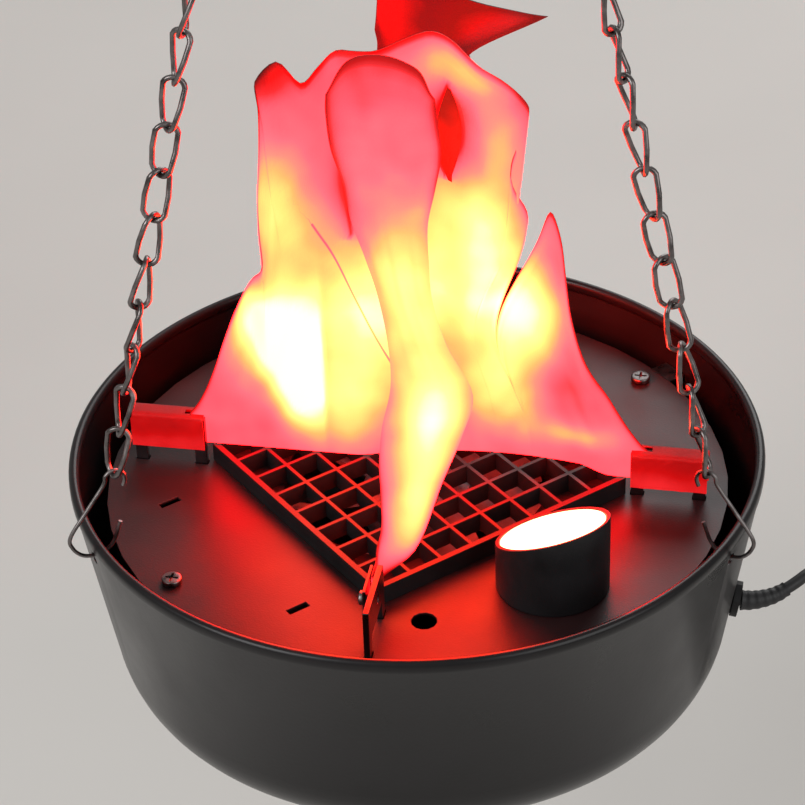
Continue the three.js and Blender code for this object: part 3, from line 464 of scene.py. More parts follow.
def rolled(steps=5):
    """The rolled rim, from its outer lower edge over the top to its inner lower edge."""
    r = rim_width / 2
    middle = rim_radius - r
    arc = [(middle + r * math.cos(math.pi * i / steps), r * math.sin(math.pi * i / steps) - r)
           for i in range(steps + 1)]
    return [(rim_radius - rim_curl, -rim_depth - rim_curl * 2 / 3), (rim_radius, rim_curl - rim_depth),
            *arc, (rim_radius - rim_width, rim_curl - rim_depth),
            (rim_radius - rim_width + rim_curl, -rim_depth - rim_curl / 3)]


bowl_section = [(0.0, -bowl_height), *reversed(knuckle(0)), *rolled(),
                (rim_radius - bowl_wall - rim_curl * 2 / 3, -rim_depth - rim_curl), *knuckle(bowl_wall),
                (0.0, bowl_wall - bowl_height)]
bowl = spun(bowl_section, 160)
print("bowl section of", len(bowl_section), "points")

# %% Holes for the hooks and the lead
chain_angles = {"left": 215, "right": 341, "back": 88}
hook_hole, hook_hole_depth, lead_hole, wall_lean, peg_length = 2.7, 11.5, 5.8, 9.6, 12


def turned(place, angle):
    """A place turned about the upright axis by an angle in degrees."""
    return Matrix.Rotation(math.radians(angle), 3, "Z") @ Vector(place)


def peg(radius, place, turn, sides):
    """A round peg that bores a hole, with sizes and place in millimetres and its turn in degrees."""
    start()
    bpy.ops.mesh.primitive_cylinder_add(vertices=sides, radius=radius * MM, depth=peg_length * MM,
                                        location=at_rim(*place),
                                        rotation=[math.radians(angle) for angle in turn])
    return bpy.context.object


def bored(piece, *pegs):
    """Takes the pegs out of a piece."""
    for tool in pegs:
        applied(piece, "BOOLEAN", object=tool, operation="DIFFERENCE", solver="EXACT")
        bpy.data.objects.remove(tool)
    return piece


hook_pegs = [peg(hook_hole, turned((rim_radius, 0, -hook_hole_depth), angle), (0, 90, angle), sides=16)
             for angle in chain_angles.values()]
bored(bowl, *hook_pegs, peg(lead_hole, gland_place, (0, 90 + wall_lean, 0), sides=24))
done(bowl, "bowl_spun", enamel, ["bowl_shell"], smooth=40)

# %% [markdown]
# ## Plate, grille, arms and fan body
# These are cut sheet and moulded pieces with plain shapes, and their solids already have every hole and
# cell. What a solid lacks is the small radius that all real edges have, which draws a thin bright line
# along the metal. A rounded copy adds it, and needs no new modelling.

# %% Pieces that only need rounded edges
arm_angles = {"right": 0, "back": 90, "left": 180, "front": 270}
rounded("top_plate", 0.25, powder)
rounded("grille", 0.3, moulded)
for side in arm_angles:
    rounded(f"silk_arm_{side}", 0.4, blued)
    rounded(f"silk_clamp_{side}", 0.3, blued)
for i in (1, 2):
    rounded(f"plate_bracket_{i}", 0.3, zinc)
rounded("fan_frame", 0.8, moulded)
rounded("lamp_driver", 1.2, grey_moulded, segments=3)
rounded("terminal_block", 0.5, board)
rounded("gland_nut", 0.5, moulded)
rounded("cord_gland", 0.4, moulded)

# %% Solids that are out of sight and keep their shape
plain = {
    "fan_stator": copper, "fan_bearing_bottom": zinc, "fan_bearing_top": zinc, "led_board_front": board,
    "led_board_back": board, "heat_sink_front": aluminium, "heat_sink_back": aluminium,
    "mains_tail": rubber,
}
for name, look in plain.items():
    nodes[name].data.materials.clear()
    nodes[name].data.materials.append(look)
print(len(plain), "solids keep their shape")

# %% [markdown]
# ## Screws
# Two screws hold the plate, one holds the silk in each arm, and four hold the fan. They are one pan-head
# screw in three sizes. The head is a short cylinder whose underside is inset and extruded into the shank,
# its edges are rounded, and a cross is cut into its top for the driver.

# %% Selecting by place
def picked(piece, test, kind="VERT"):
    """Opens edit mode with the corners, or the faces, that pass the test selected."""
    opened(piece)
    bpy.ops.mesh.select_mode(type=kind)
    bpy.ops.mesh.select_all(action="DESELECT")
    closed()
    for part in piece.data.vertices if kind == "VERT" else piece.data.polygons:
        part.select = test(part)
    bpy.ops.object.mode_set(mode="EDIT")
    return piece


def sunk(depth):
    """Extrudes what is selected downwards by that many millimetres."""
    extruded((0, 0, -depth * MM))

# %% One screw
cross_long, cross_wide, cross_deep = 1.3, 0.26, 1.1


def screw(head, height, shank, length):
    """A pan-head screw standing on its seat at the origin. The radius and height of its head and the
    radius and length of its shank are in millimetres. The cross's sizes are shares of the head's."""
    start()
    bpy.ops.mesh.primitive_cylinder_add(vertices=32, radius=head * MM, depth=height * MM,
                                        location=(0, 0, height * MM / 2))
    piece = settled(bpy.context.object)
    picked(piece, lambda face: face.normal.z < -0.9, "FACE")
    bpy.ops.mesh.inset(thickness=(head - shank) * MM)
    sunk(length)
    bevelled(closed(), height / 4, angle=60)
    for quarter in (0, 90):
        start()
        bpy.ops.mesh.primitive_cube_add(size=1, location=(0, 0, height * MM))
        slot = bpy.context.object
        slot.scale = (cross_long * head * MM, cross_wide * head * MM, cross_deep * height * MM)
        slot.rotation_euler.z = math.radians(quarter)
        settled(slot)
        bored(piece, slot)
    return piece


def placed(piece, name, matrix, look, replaced):
    """A finished copy of a piece, moved by a matrix."""
    copy = copied(piece)
    copy.data.transform(matrix)
    return done(copy, name, look, replaced)

# %% The screws in their places
def seat_at(place, angle):
    """The matrix that moves a piece from the origin to a place turned about the upright axis."""
    return Matrix.Translation(at_rim(*turned(place, angle)))


plate_top, fan_bottom, seat_gap = -18.2, -44.7, 0.3
plate_screw_radius, fan_screw_radius, clamp_screw_place = 116.0, 74.25, (99.0, -2.2, -3.2)
plate_screw = screw(head=4.0, height=2.4, shank=1.9, length=8.0)
clamp_screw = screw(head=2.8, height=1.8, shank=1.4, length=5.0)
fan_screw = screw(head=3.6, height=2.4, shank=1.9, length=26.0)
for i, angle in enumerate((45, 225)):
    seat = seat_at((plate_screw_radius, 0, plate_top + seat_gap), angle)
    placed(plate_screw, f"plate_screw_pan_{i + 1}", seat, zinc, [f"plate_screw_{i + 1}"])
for side, angle in arm_angles.items():
    seat = seat_at(clamp_screw_place, angle)
    turn = Matrix.Rotation(math.radians(angle), 4, "Z") @ Matrix.Rotation(math.radians(90), 4, "X")
    placed(clamp_screw, f"clamp_screw_pan_{side}", seat @ turn, zinc, [f"clamp_screw_{side}"])
for i, angle in enumerate((90, 180, 270, 360)):
    seat = seat_at((fan_screw_radius, 0, fan_bottom - seat_gap), angle)
    turn = Matrix.Rotation(math.radians(180), 4, "X")
    placed(fan_screw, f"fan_screw_pan_{i + 1}", seat @ turn, zinc, [f"fan_screw_{i + 1}"])
for spare in (plate_screw, clamp_screw, fan_screw):
    bpy.data.objects.remove(spare)

# %% [markdown]
# ## The lamp pods
# A pod is a round black cup with its mouth cut off at a slope, so that its light falls on the silk. The cup
# is a cylinder bisected by the sloping plane. The cut face is inset for the wall, sunk for the lens's seat,
# inset again for the ledge, and sunk to the bottom. The lens is the same cylinder, a little smaller and cut
# off below as well. It glows in a red far stronger than its green and blue. All three are too bright for
# the picture, so the lens looks white, and yet the light that it throws on plate and grille is red, as in
# the photograph.

# %% A cylinder cut off at a slope
pod_angles = {"front": -43.5, "back": 136.5}
pod_place, pod_radius, pod_wall, pod_face, pod_slope = 88.0, 22.0, 1.6, 26.0, 26.0
lens_thickness, lens_ledge, lens_gap, cup_floor = 2.5, 1.5, 0.3, 1.5
lens_sunk, cup_round, lens_round = 0.4, 0.45, 0.5
slope_normal = Vector((-math.sin(math.radians(pod_slope)), 0, math.cos(math.radians(pod_slope))))


def sloped(radius, low, high):
    """A cylinder from a low height, cut off by the slope at a high height. Edit mode stays open."""
    start()
    depth = 2 * high - low
    bpy.ops.mesh.primitive_cylinder_add(vertices=96, radius=radius * MM, depth=depth * MM,
                                        location=(0, 0, (low + depth / 2) * MM))
    piece = settled(bpy.context.object)
    bpy.ops.object.mode_set(mode="EDIT")
    bpy.ops.mesh.select_mode(type="FACE")
    bpy.ops.mesh.select_all(action="SELECT")
    bpy.ops.mesh.bisect(plane_co=(0, 0, high * MM), plane_no=slope_normal, use_fill=True, clear_outer=True)
    return piece

# %% Cup and lens
cup = sloped(pod_radius, seat_gap, pod_face)
bpy.ops.mesh.inset(thickness=pod_wall * MM)
sunk(lens_thickness + lens_sunk)
bpy.ops.mesh.inset(thickness=lens_ledge * MM)
sunk(lens_thickness)
bpy.ops.transform.resize(value=(1, 1, 0), center_override=(0, 0, cup_floor * MM))
bevelled(closed(), cup_round)
lens = sloped(pod_radius - pod_wall - lens_gap, seat_gap, pod_face - lens_gap)
bpy.ops.mesh.select_all(action="SELECT")
bpy.ops.mesh.bisect(plane_co=(0, 0, (pod_face - lens_thickness) * MM), plane_no=slope_normal,
                    use_fill=True, clear_inner=True)
bevelled(closed(), lens_round)
print("cup and lens have", len(cup.data.polygons), "and", len(lens.data.polygons), "faces")

# %% The lit lens
lens_light, sparkle_size = 14.0, 9
glow, tree, shader = new_look("frosted_acrylic_lit")
place = add_node(tree, "TexCoord", {}).outputs["Object"]
sparkle = add_node(tree, "TexNoise", {"Vector": place, "Scale": per(sparkle_size), "Detail": 3.0})
warm = add_node(tree, "ValToRGB", {"Fac": sparkle.outputs["Fac"]},
                stops=[(0.35, "#ff6f4c"), (0.6, "#ff7c5c")])
filled(tree, shader, {"Emission Color": warm.outputs["Color"], "Emission Strength": lens_light,
                      "Base Color": paint("#fff1c9"), "Roughness": 0.25})
for side, angle in pod_angles.items():
    matrix = seat_at((pod_place, 0, plate_top), angle) @ Matrix.Rotation(math.radians(angle), 4, "Z")
    placed(cup, f"pod_cup_{side}", matrix, moulded, [f"lamp_housing_{side}"])
    placed(lens, f"pod_lens_{side}", matrix, glow, [f"lamp_lens_{side}"])
for spare in (cup, lens):
    bpy.data.objects.remove(spare)

# %% [markdown]
# ## Chains, rim hooks, ring and top hook
# Each chain is about thirty links of 2.2 mm wire, 18 mm apart. A link is a torus pulled apart in the middle
# to straight sides and twisted about its length, as the real links are. Each link starts a quarter turn on
# from where the one before it ends, and a little more or less, so that the last one sits square on the
# ring. One link is shaped for each chain and copied along the straight line on which the weight pulls it.

# %% Where the chains start and end
hook_shares = [
    (-0.32, 0.34), (-0.235, 0.125), (-0.13, 0.02), (0, 0), (0.13, 0.04), (0.225, 0.16), (0.235, 0.31),
    (0.03, 0.58), (-0.18, 0.85), (-0.21, 0.95), (-0.3, 1), (-0.39, 0.95), (-0.415, 0.86), (-0.39, 0.78),
]
hook_height, hook_wire, hook_bend = 37.0, 1.6, 10
hook_seat = Vector((138.15, 0, -10.2))
ring_radius, ring_wire, chain_height = 18.0, 4.0, 535.0
ring_angles = {"left": -16, "back": 0, "right": 16}


def hook_line(side):
    """The rim hook's line: under the rim, out through the hole, over the rim and up to its bend."""
    return [turned(Vector((x, 0, z)) * hook_height + hook_seat, chain_angles[side]) for x, z in hook_shares]


def ring_place(side):
    """Where a chain's last link hangs on the ring's wire."""
    lean = math.radians(ring_angles[side])
    return Vector((math.sin(lean), 0, -math.cos(lean))) * ring_radius \
        + Vector((0, 0, chain_height + ring_radius))

# %% One link
link_pitch, link_width, link_wire, link_twist = 18.0, 11.0, 2.2, 66.0


def link(inner):
    """A link lying along X at the origin, that long inside, in millimetres."""
    start()
    bend = (link_width - link_wire) / 2
    bpy.ops.mesh.primitive_torus_add(major_radius=bend * MM, minor_radius=link_wire * MM / 2,
                                     major_segments=20, minor_segments=8)
    piece = bpy.context.object
    pull = (inner + link_wire) / 2 - bend
    for side in (-1, 1):
        picked(piece, lambda corner: corner.co.x * side > MM / 100)
        bpy.ops.transform.translate(value=(side * pull * MM, 0, 0))
        closed()
    return applied(piece, "SIMPLE_DEFORM", deform_method="TWIST", deform_axis="X",
                   angle=math.radians(link_twist))

# %% A chain of links
def joined(pieces):
    """The pieces joined into the first one."""
    start()
    for piece in pieces:
        piece.select_set(True)
    bpy.context.view_layer.objects.active = pieces[0]
    bpy.ops.object.join()
    return bpy.context.object


def chain(side):
    """The whole chain from the rim hook's bend to the ring."""
    low, high = hook_line(side)[hook_bend], ring_place(side)
    along = (high - low).normalized()
    reach = (high - low).length + hook_wire / 2 + ring_wire / 2
    count = round(reach / link_pitch)
    pitch = reach / count
    first, last = [(face - along * face.dot(along)).normalized()
                   for face in (turned((1, 0, 0), chain_angles[side]), Vector((1, 0, 0)))]
    wanted = math.degrees(math.atan2(last.dot(along.cross(first)), last.dot(first))) - link_twist
    crossed = (count - 1) * (90 + link_twist)
    step = (wanted + 180 * round((crossed - wanted) / 180)) / (count - 1)
    shape = link(pitch)
    copies = []
    for i in range(count):
        face = Matrix.Rotation(math.radians(step * i + link_twist / 2), 3, along) @ first
        matrix = Matrix((along, face.cross(along), face)).transposed().to_4x4()
        matrix.translation = at_rim(*(low + along * (pitch * (i + 0.5) - hook_wire / 2)))
        copies.append(copied(shape))
        copies[-1].data.transform(matrix)
    bpy.data.objects.remove(shape)
    print(side, "chain of", count, "links")
    return joined(copies)

# %% Chains and rim hooks
for side in chain_angles:
    done(chain(side), f"chain_links_{side}", zinc, [f"chain_{side}"], smooth=60)
    line = [at_rim(*place) for place in smooth_line(hook_line(side), 8)]
    done(wire(f"rim_hook_wire_{side}", line, hook_wire), f"rim_hook_wire_{side}", zinc,
         [f"rim_hook_{side}"], smooth=60)

# %% [markdown]
# ### Ring and top hook
# The ring is a welded ring of 4 mm wire, so a torus needs only a small bead where it was welded. The top
# hook is an S of the same wire. Its line is two arcs, with every second point left out where they join, so
# that one runs smoothly into the other. Its ends are rounded over.

# %% Ring
weld_reach, weld_swell = 2.6, 1.06
start()
ring_middle = at_rim(0, 0, chain_height + ring_radius)
bpy.ops.mesh.primitive_torus_add(major_radius=ring_radius * MM, minor_radius=ring_wire * MM / 2,
                                 major_segments=96, minor_segments=16, location=ring_middle,
                                 rotation=(math.radians(90), 0, 0))
ring = settled(bpy.context.object)
weld = ring_middle + Vector((-ring_radius * MM, 0, 0))
picked(ring, lambda corner: (corner.co - weld).length < weld_reach * MM)
bpy.ops.transform.resize(value=(weld_swell, weld_swell, 1), center_override=weld)
done(closed(), "hanging_ring_welded", zinc, ["hanging_ring"], body="ring", smooth=60)

# %% Top hook
hook_radius, eye_radius, hook_spread, hook_thickness = 9.0, 7.0, 30.0, 4.0
hook_arc, eye_arc, join_from, join_to = (-40, 190), (10, -220), 30, 36
end_points, end_width = 3, 0.001


def arc(centre, radius, begin, end, steps=32):
    """An arc upright across the chain's front, with its angles in degrees."""
    angles = [math.radians(mixed(begin, end, i / steps)) for i in range(steps + 1)]
    return [Vector((0, radius * math.cos(a) * MM, (centre + radius * math.sin(a)) * MM)) for a in angles]


def rounded_over(i, count):
    """The share of the full thickness at one of that many points, which rounds over both ends."""
    inward = min(i, count - 1 - i, end_points) / end_points
    return mixed(end_width, 1, math.sqrt(1 - (1 - inward) ** 2))


s_line = [*arc(-hook_radius, hook_radius + hook_thickness / 2, *hook_arc),
          *arc(-hook_radius - hook_spread, eye_radius + hook_thickness / 2, *eye_arc)]
s_line = smooth_line(s_line[:join_from] + s_line[join_from:join_to:2] + s_line[join_to:], 2)
s_widths = [rounded_over(i, len(s_line)) for i in range(len(s_line))]
top_hook = wire("top_hook_bent", s_line, hook_thickness, sides=16, widths=s_widths)
done(top_hook, "top_hook_bent", zinc, ["top_hook"], body="hook", smooth=60)

# %% [markdown]
# ## The fan's wheel
# The wheel has a cup-shaped hub and seven blades. A real blade is steep at the hub and flatter at its tip,
# because the tip moves faster. Each blade starts as a flat grid. Every corner is moved to its radius, set
# at the pitch for that radius and given a little camber, and Solidify gives it its thickness.

# %% Hub
hub_radius, hub_top, hub_height, hub_wall = 22.0, -20.7, 17.0, 2.0
hub_edge, hub_corner, shaft_radius, shaft_short = 1.6, 0.5, 1.6, 1.0
hub_low = hub_top - hub_height
hub_section = [(0.0, hub_low + shaft_short), (shaft_radius, hub_low + shaft_short),
               (shaft_radius, hub_top - hub_wall), (hub_radius - hub_wall, hub_top - hub_wall),
               (hub_radius - hub_wall, hub_low), (hub_radius, hub_low), (hub_radius, hub_top - hub_edge),
               (hub_radius - hub_corner, hub_top - hub_corner), (hub_radius - hub_edge, hub_top),
               (0.0, hub_top)]
wheel = spun(hub_section, 64)
print("hub of", len(wheel.data.polygons), "faces")

# %% Blades
blade_tip, blade_count, blade_thickness, blade_root = 54.3, 7, 1.6, 1.0
blade_pitches, blade_chords, blade_camber, blade_sweep, tip_cut = (50, 28), (18.5, 27), 0.07, 0.2, 0.12
blade_middle = hub_top - hub_height / 2
for i in range(blade_count):
    start()
    bpy.ops.mesh.primitive_grid_add(x_subdivisions=14, y_subdivisions=8, size=1)
    blade = bpy.context.object
    for corner in blade.data.vertices:
        out, across = corner.co.x + 0.5, corner.co.y
        radius = mixed(hub_radius - blade_root, blade_tip, out)
        pitch = math.radians(mixed(*blade_pitches, out))
        chord = mixed(*blade_chords, out) * (1 - tip_cut * out ** 6)
        camber = blade_camber * chord * (1 - 4 * across ** 2)
        side = chord * across * math.cos(pitch) - camber * math.sin(pitch)
        rise = chord * across * math.sin(pitch) + camber * math.cos(pitch)
        angle = side / radius - blade_sweep * out + 2 * math.pi * i / blade_count
        corner.co = at_rim(radius * math.cos(angle), radius * math.sin(angle), blade_middle + rise)
    applied(blade, "SOLIDIFY", thickness=blade_thickness * MM, offset=0)
    joined([wheel, blade])
cleaned(wheel)
done(wheel, "fan_wheel", grey_moulded, ["fan_impeller"], body="impeller", smooth=40)

# %% [markdown]
# ## The silk
# The silk is thin white cloth in two cuts. One is stretched from the left arm to the right arm and cut
# into a skyline of pointed tongues. The other is two long tongues, clamped at the front and the back arm.
# The fan blows both into pleats. Such cloth is one sheet with no thickness to speak of, so it is made as a
# grid of smooth lines from the clamped edge to the cut edge, and Solidify gives it half a millimetre.
# A cloth simulation would not hold the tongues where the photograph shows them, so the pleats, the fold,
# the opening and the crease are worked out for each corner of the grid.

# %% Painted light on the cloth
silk_half, silk_height, silk_bottom, silk_corner = 94.0, 177.0, -9.2, 13.0
plain_warmth, warmth_drifts = 0.5, ((24, 0.06), (8, 0.03))
# How far painted shade reaches in from a cut edge, in millimetres, and how deep it is.
cut_glow, cut_edge_shade = 1.5, 0.27
fold_side, fold_blur, fold_from = -38.0, 1.6, 0.4


def warmth_at(place, glows, sheet_shade, cut):
    """How warm a place on the cloth looks, that is how much painted light it shows, from 0, deep red, to 1,
    white.
    Each glow is a painted pool of light: a middle, a reach sideways and upwards in millimetres and a
    strength, and glows add up. A glow of negative strength paints shade. The strong ones stop at the fold
    beside the left flame. Painted shade makes the cloth deeper red at a cut edge, and the shade that the
    call gives darkens the whole sheet."""
    glow = 0.0
    for side, up, wide, tall, strength in glows:
        past = place.x - fold_side if side < fold_side else fold_side - place.x
        share = math.exp(-(max(past, 0) / fold_blur) ** 2) if strength > fold_from else 1.0
        glow += share * strength * math.exp(-((place.x - side) / wide) ** 2 - ((place.z - up) / tall) ** 2)
    drift = sum(noise.noise(place / size) * amount for size, amount in warmth_drifts)
    rim = math.exp(-max(cut, 0) / cut_glow)
    return min(max(plain_warmth + glow - sheet_shade + drift - cut_edge_shade * rim, 0), 1)

# %% The crease
# The crease gets a thin line of painted shade along it.
crease_ends = Vector((-39.4, 98.8)), Vector((-3.0, 27.0))
crease_depth, crease_fade = 8.0, 4


def from_crease(place):
    """How many millimetres a place is to the right of the crease. Beyond its ends and behind it, far."""
    first, last = crease_ends
    line = last - first
    off = Vector((place.x, place.z)) - first
    along = off.dot(line) / line.length
    beyond = max(-along, along - line.length, abs(place.y) - crease_depth, 0)
    right = (off.y * line.x - off.x * line.y) / line.length
    return right + math.copysign(crease_fade * beyond, right)

# %% A sheet from lines of cloth
def sheet(name, lines, cut, glows, sheet_shade=0.0, torn=()):
    """Cloth through lines of places in millimetres, all with as many places. The cut is a function that
    gives how many millimetres a place is from a cut edge, and a torn cell is left out. How much painted
    light each place shows and how far it is from the crease, along which shade is painted, are kept in the
    mesh, for the finish."""
    columns, rows = len(lines), len(lines[0])
    corners = [tuple(at_rim(*place)) for line in lines for place in line]
    cells = [(i * rows + k, (i + 1) * rows + k, (i + 1) * rows + k + 1, i * rows + k + 1)
             for i in range(columns - 1) for k in range(rows - 1) if (i, k) not in torn]
    mesh = bpy.data.meshes.new(name)
    mesh.from_pydata(corners, [], cells)
    warmth = mesh.attributes.new("warmth", "FLOAT", "POINT")
    warmth.data.foreach_set("value", [
        warmth_at(place, glows, sheet_shade, cut(i / (columns - 1), k / (rows - 1)))
        for i, line in enumerate(lines) for k, place in enumerate(line)
    ])
    crease = mesh.attributes.new("crease", "FLOAT", "POINT")
    crease.data.foreach_set("value", [from_crease(place) for line in lines for place in line])
    weave = mesh.uv_layers.new(name="weave")
    for loop in mesh.loops:
        i, k = divmod(loop.vertex_index, rows)
        across, up = i / (columns - 1), k / (rows - 1)
        weave.data[loop.index].uv = (across * 2 * silk_half * MM, up * silk_height * MM)
    return linked(bpy.data.objects.new(name, mesh))


def flat_area(piece):
    """The area of a sheet before it gets its thickness, in square metres."""
    return sum(face.area for face in piece.data.polygons)

# %% [markdown]
# ### The silk's finish
# How warm each place looks, that is how much painted light it shows, is kept in the mesh as an attribute.
# One colour ramp turns it into an emission, painted light that stands in for the lamps' light coming through
# the cloth: deep red where little does, salmon and orange further in, and white at the lamps. The light is
# strong and the ramp is low in green and blue, so that the cloth shows these colours and still throws red
# light on the metal round it. A second ramp paints a duller copy of the same light and shade into the
# cloth's base colour. The sides of the pleats stand edge on to the front, and less light leaves them there,
# so they
# look deeper: this is painted shade. The front is a fixed side of the light, and the shade stays in its
# place from wherever it is seen. A second attribute paints a thin dark line of shade along the crease. Real
# silk threads are too fine to show, so a plain weave is drawn at 0.5 mm, which gives the surface a faint
# grain. A wave pattern of scale 1 has 3.2 bands to a metre.

# %% Painted light and shade of the silk
front_side, edge_on = (0.164, -0.834, 0.527), 0.22
crease_from, crease_to, crease_shade = 0.15, 0.6, 0.2
silk, tree, shader = new_look("lit_silk")
warmth, crease = [add_node(tree, "Attribute", {}, attribute_name=name).outputs["Fac"]
                  for name in ("warmth", "crease")]
# A thin line of painted shade along the crease.
off = add_node(tree, "Math", {0: crease}, operation="ABSOLUTE")
line = add_node(tree, "MapRange", {"Value": off.outputs["Value"], "From Min": crease_from,
                                   "From Max": crease_to, "To Min": crease_shade, "To Max": 0.0})
# Painted shade: cloth that stands edge on to the front side shows less light.
normal = add_node(tree, "TexCoord", {}).outputs["Normal"]
facing = add_node(tree, "VectorMath", {0: normal, 1: front_side}, operation="DOT_PRODUCT")
either = add_node(tree, "Math", {0: facing.outputs["Value"]}, operation="ABSOLUTE")
eased = add_node(tree, "Math", {0: either.outputs["Value"]}, operation="SQRT")
turn = add_node(tree, "Math", {0: eased.outputs["Value"], 1: edge_on, 2: warmth}, operation="MULTIPLY_ADD")
shade = add_node(tree, "Math", {0: line.outputs["Result"], 1: edge_on}, operation="ADD")
seen = add_node(tree, "Math", {0: turn.outputs["Value"], 1: shade.outputs["Value"]}, operation="SUBTRACT")
seen = seen.outputs["Value"]
print(silk.name, "has", len(tree.nodes), "nodes so far")

# %% Colours and weave of the silk
silk_light, thread_pitch, thread_height, bands_at_one = 24.0, 0.5, 0.03, 3.2
# The lit ramp is painted light: the emission that stands in for the lamps' light through the cloth.
lit = add_node(tree, "ValToRGB", {"Fac": seen}, stops=[
    (0.0, "#050000"), (1.0, "#ff3e38"), (0.14, "#140000"), (0.27, "#260000"), (0.36, "#310202"),
    (0.46, "#ff0d11"), (0.55, "#ff1317"), (0.63, "#ff1b16"), (0.7, "#ff2611"), (0.77, "#ff3216"),
    (0.87, "#ff3e1d"),
])
# The cloth ramp paints the same light and shade, duller, into the base colour: deep red where little light
# comes through.
cloth = add_node(tree, "ValToRGB", {"Fac": seen}, stops=[
    (0.0, "#200002"), (1.0, "#b0a890"), (0.27, "#7a0408"), (0.46, "#902434"), (0.63, "#98443c"),
    (0.77, "#a07838"),
])
threads = {"Vector": add_node(tree, "UVMap", {}, uv_map="weave").outputs["UV"],
           "Scale": per(thread_pitch) / bands_at_one}
warp, weft = [add_node(tree, "TexWave", threads, bands_direction=along).outputs["Fac"] for along in "XY"]
woven = add_node(tree, "Math", {0: warp, 1: weft}, operation="ADD")
relief = add_node(tree, "Bump", {"Height": woven.outputs["Value"], "Distance": thread_height * MM,
                                 "Strength": 0.6})
filled(tree, shader, {"Base Color": cloth.outputs["Color"], "Emission Color": lit.outputs["Color"],
                      "Normal": relief.outputs["Normal"], "Emission Strength": silk_light,
                      "Roughness": 0.5, "Specular IOR Level": 0.2, "Sheen Weight": 0.05})
print(silk.name, "has", len(tree.nodes), "nodes")

# %% [markdown]
# ### The cut from left to right
# Each row gives where a line of cloth starts on the lower edge, where it ends across the span, and how
# high it ends. The eye-shaped opening in the middle is a row of cells left out of the grid, with the cloth
# beside it pushed apart and one side set forward. The fold to its left is set forward in the same way, but
# stays closed and only looks dark, from painted shade along it, so that one tongue seems to overlap the
# next. Painted shade also deepens the cloth along the opening's sides.

# %% The skyline of tongues
cross_shares = [
    (-1, -1, 0), (-0.936, -0.936, 0.052), (-0.872, -0.872, 0.131), (-0.809, -0.809, 0.227),
    (-0.745, -0.734, 0.323), (-0.691, -0.67, 0.385), (-0.638, -0.617, 0.43), (-0.596, -0.622, 0.515),
    (-0.553, -0.617, 0.611), (-0.511, -0.596, 0.723), (-0.473, -0.585, 0.836), (-0.436, -0.592, 0.895),
    (-0.394, -0.505, 0.94), (-0.351, -0.426, 0.876), (-0.309, -0.362, 0.904), (-0.255, -0.287, 0.944),
    (-0.149, -0.149, 0.977), (-0.043, -0.021, 0.994), (0.064, 0.106, 1), (0.149, 0.191, 0.99),
    (0.213, 0.298, 0.965), (0.266, 0.394, 0.93), (0.309, 0.473, 0.862), (0.34, 0.483, 0.82),
    (0.36, 0.43, 0.735), (0.385, 0.43, 0.67), (0.41, 0.484, 0.59), (0.436, 0.489, 0.532),
    (0.468, 0.489, 0.441), (0.495, 0.492, 0.34), (0.505, 0.495, 0.26), (0.52, 0.503, 0.34),
    (0.54, 0.518, 0.43), (0.56, 0.543, 0.509), (0.59, 0.575, 0.585), (0.625, 0.625, 0.53),
    (0.655, 0.66, 0.441), (0.695, 0.695, 0.34), (0.745, 0.745, 0.238), (0.809, 0.815, 0.153),
    (0.894, 0.894, 0.074), (0.957, 0.957, 0.024), (1, 1, 0),
]
rows = [Vector(row) for row in cross_shares]
cross_steps = 4
fine_rows = smooth_line(rows, cross_steps)
print("skyline of", len(rows), "rows, with", len(fine_rows), "lines of cloth")

# %% How the cloth is held, lifted and drawn in
clamp_inner, edge_lift, lift_start = 87.0, 7.0, -0.25
clamp_share = clamp_inner / silk_half
waist = {"side": 46.5, "height": 52, "depth": 14, "reach": 32, "inner": 24, "outer": 14}


def free_of_clamps(share):
    """0 at the clamps, where the cloth is held flat, and 1 in the middle, where it pleats freely."""
    room = min(max((clamp_share - abs(share)) - (1 - clamp_share), 0) / (2 * (1 - clamp_share)), 1)
    return room * room * (3 - 2 * room)


def lifted(share):
    """How many millimetres the air lifts the lower edge there, right of the middle."""
    part = min(max((share - lift_start) / (1 - lift_start), 0), 1)
    return edge_lift * math.sin(math.pi * part) * free_of_clamps(share)


def drawn_in(place):
    """How far the cloth draws in towards the middle at the waist of the right tongue, in millimetres."""
    side = place.x - waist["side"]
    across = side / (waist["inner"] if side < 0 else waist["outer"])
    up = (place.z - waist["height"]) / waist["reach"]
    return -waist["depth"] * math.exp(-across ** 2 - up ** 2)

# %% The fold and the opening
slits = [
    {"share": -0.232, "low": 0.57, "high": 0.84, "width": 1.5, "step": 2.4, "open": False},
    {"share": 0.13, "low": 0.68, "high": 0.90, "width": 9.0, "step": 3.0, "open": True},
]


def slit_opening(slit, up):
    """How open a slit is at a height: 1 halfway up it, 0 at its ends, and None above and below."""
    if not slit["low"] < up < slit["high"]:
        return None
    part = (up - slit["low"]) / (slit["high"] - slit["low"])
    return math.sin(math.pi * part)


print(sum(slit["open"] for slit in slits), "of", len(slits), "slits is open")

# %% A place on the left to right silk
pleat_count, pleat_depth = 4.5, 6.5
slit_fade, slit_pull, pull_reach = 0.09, 0.9, 0.03
ripple_across, ripple_up, ripple_side, ripple_depth = 9, 5, 3.1, 2.2


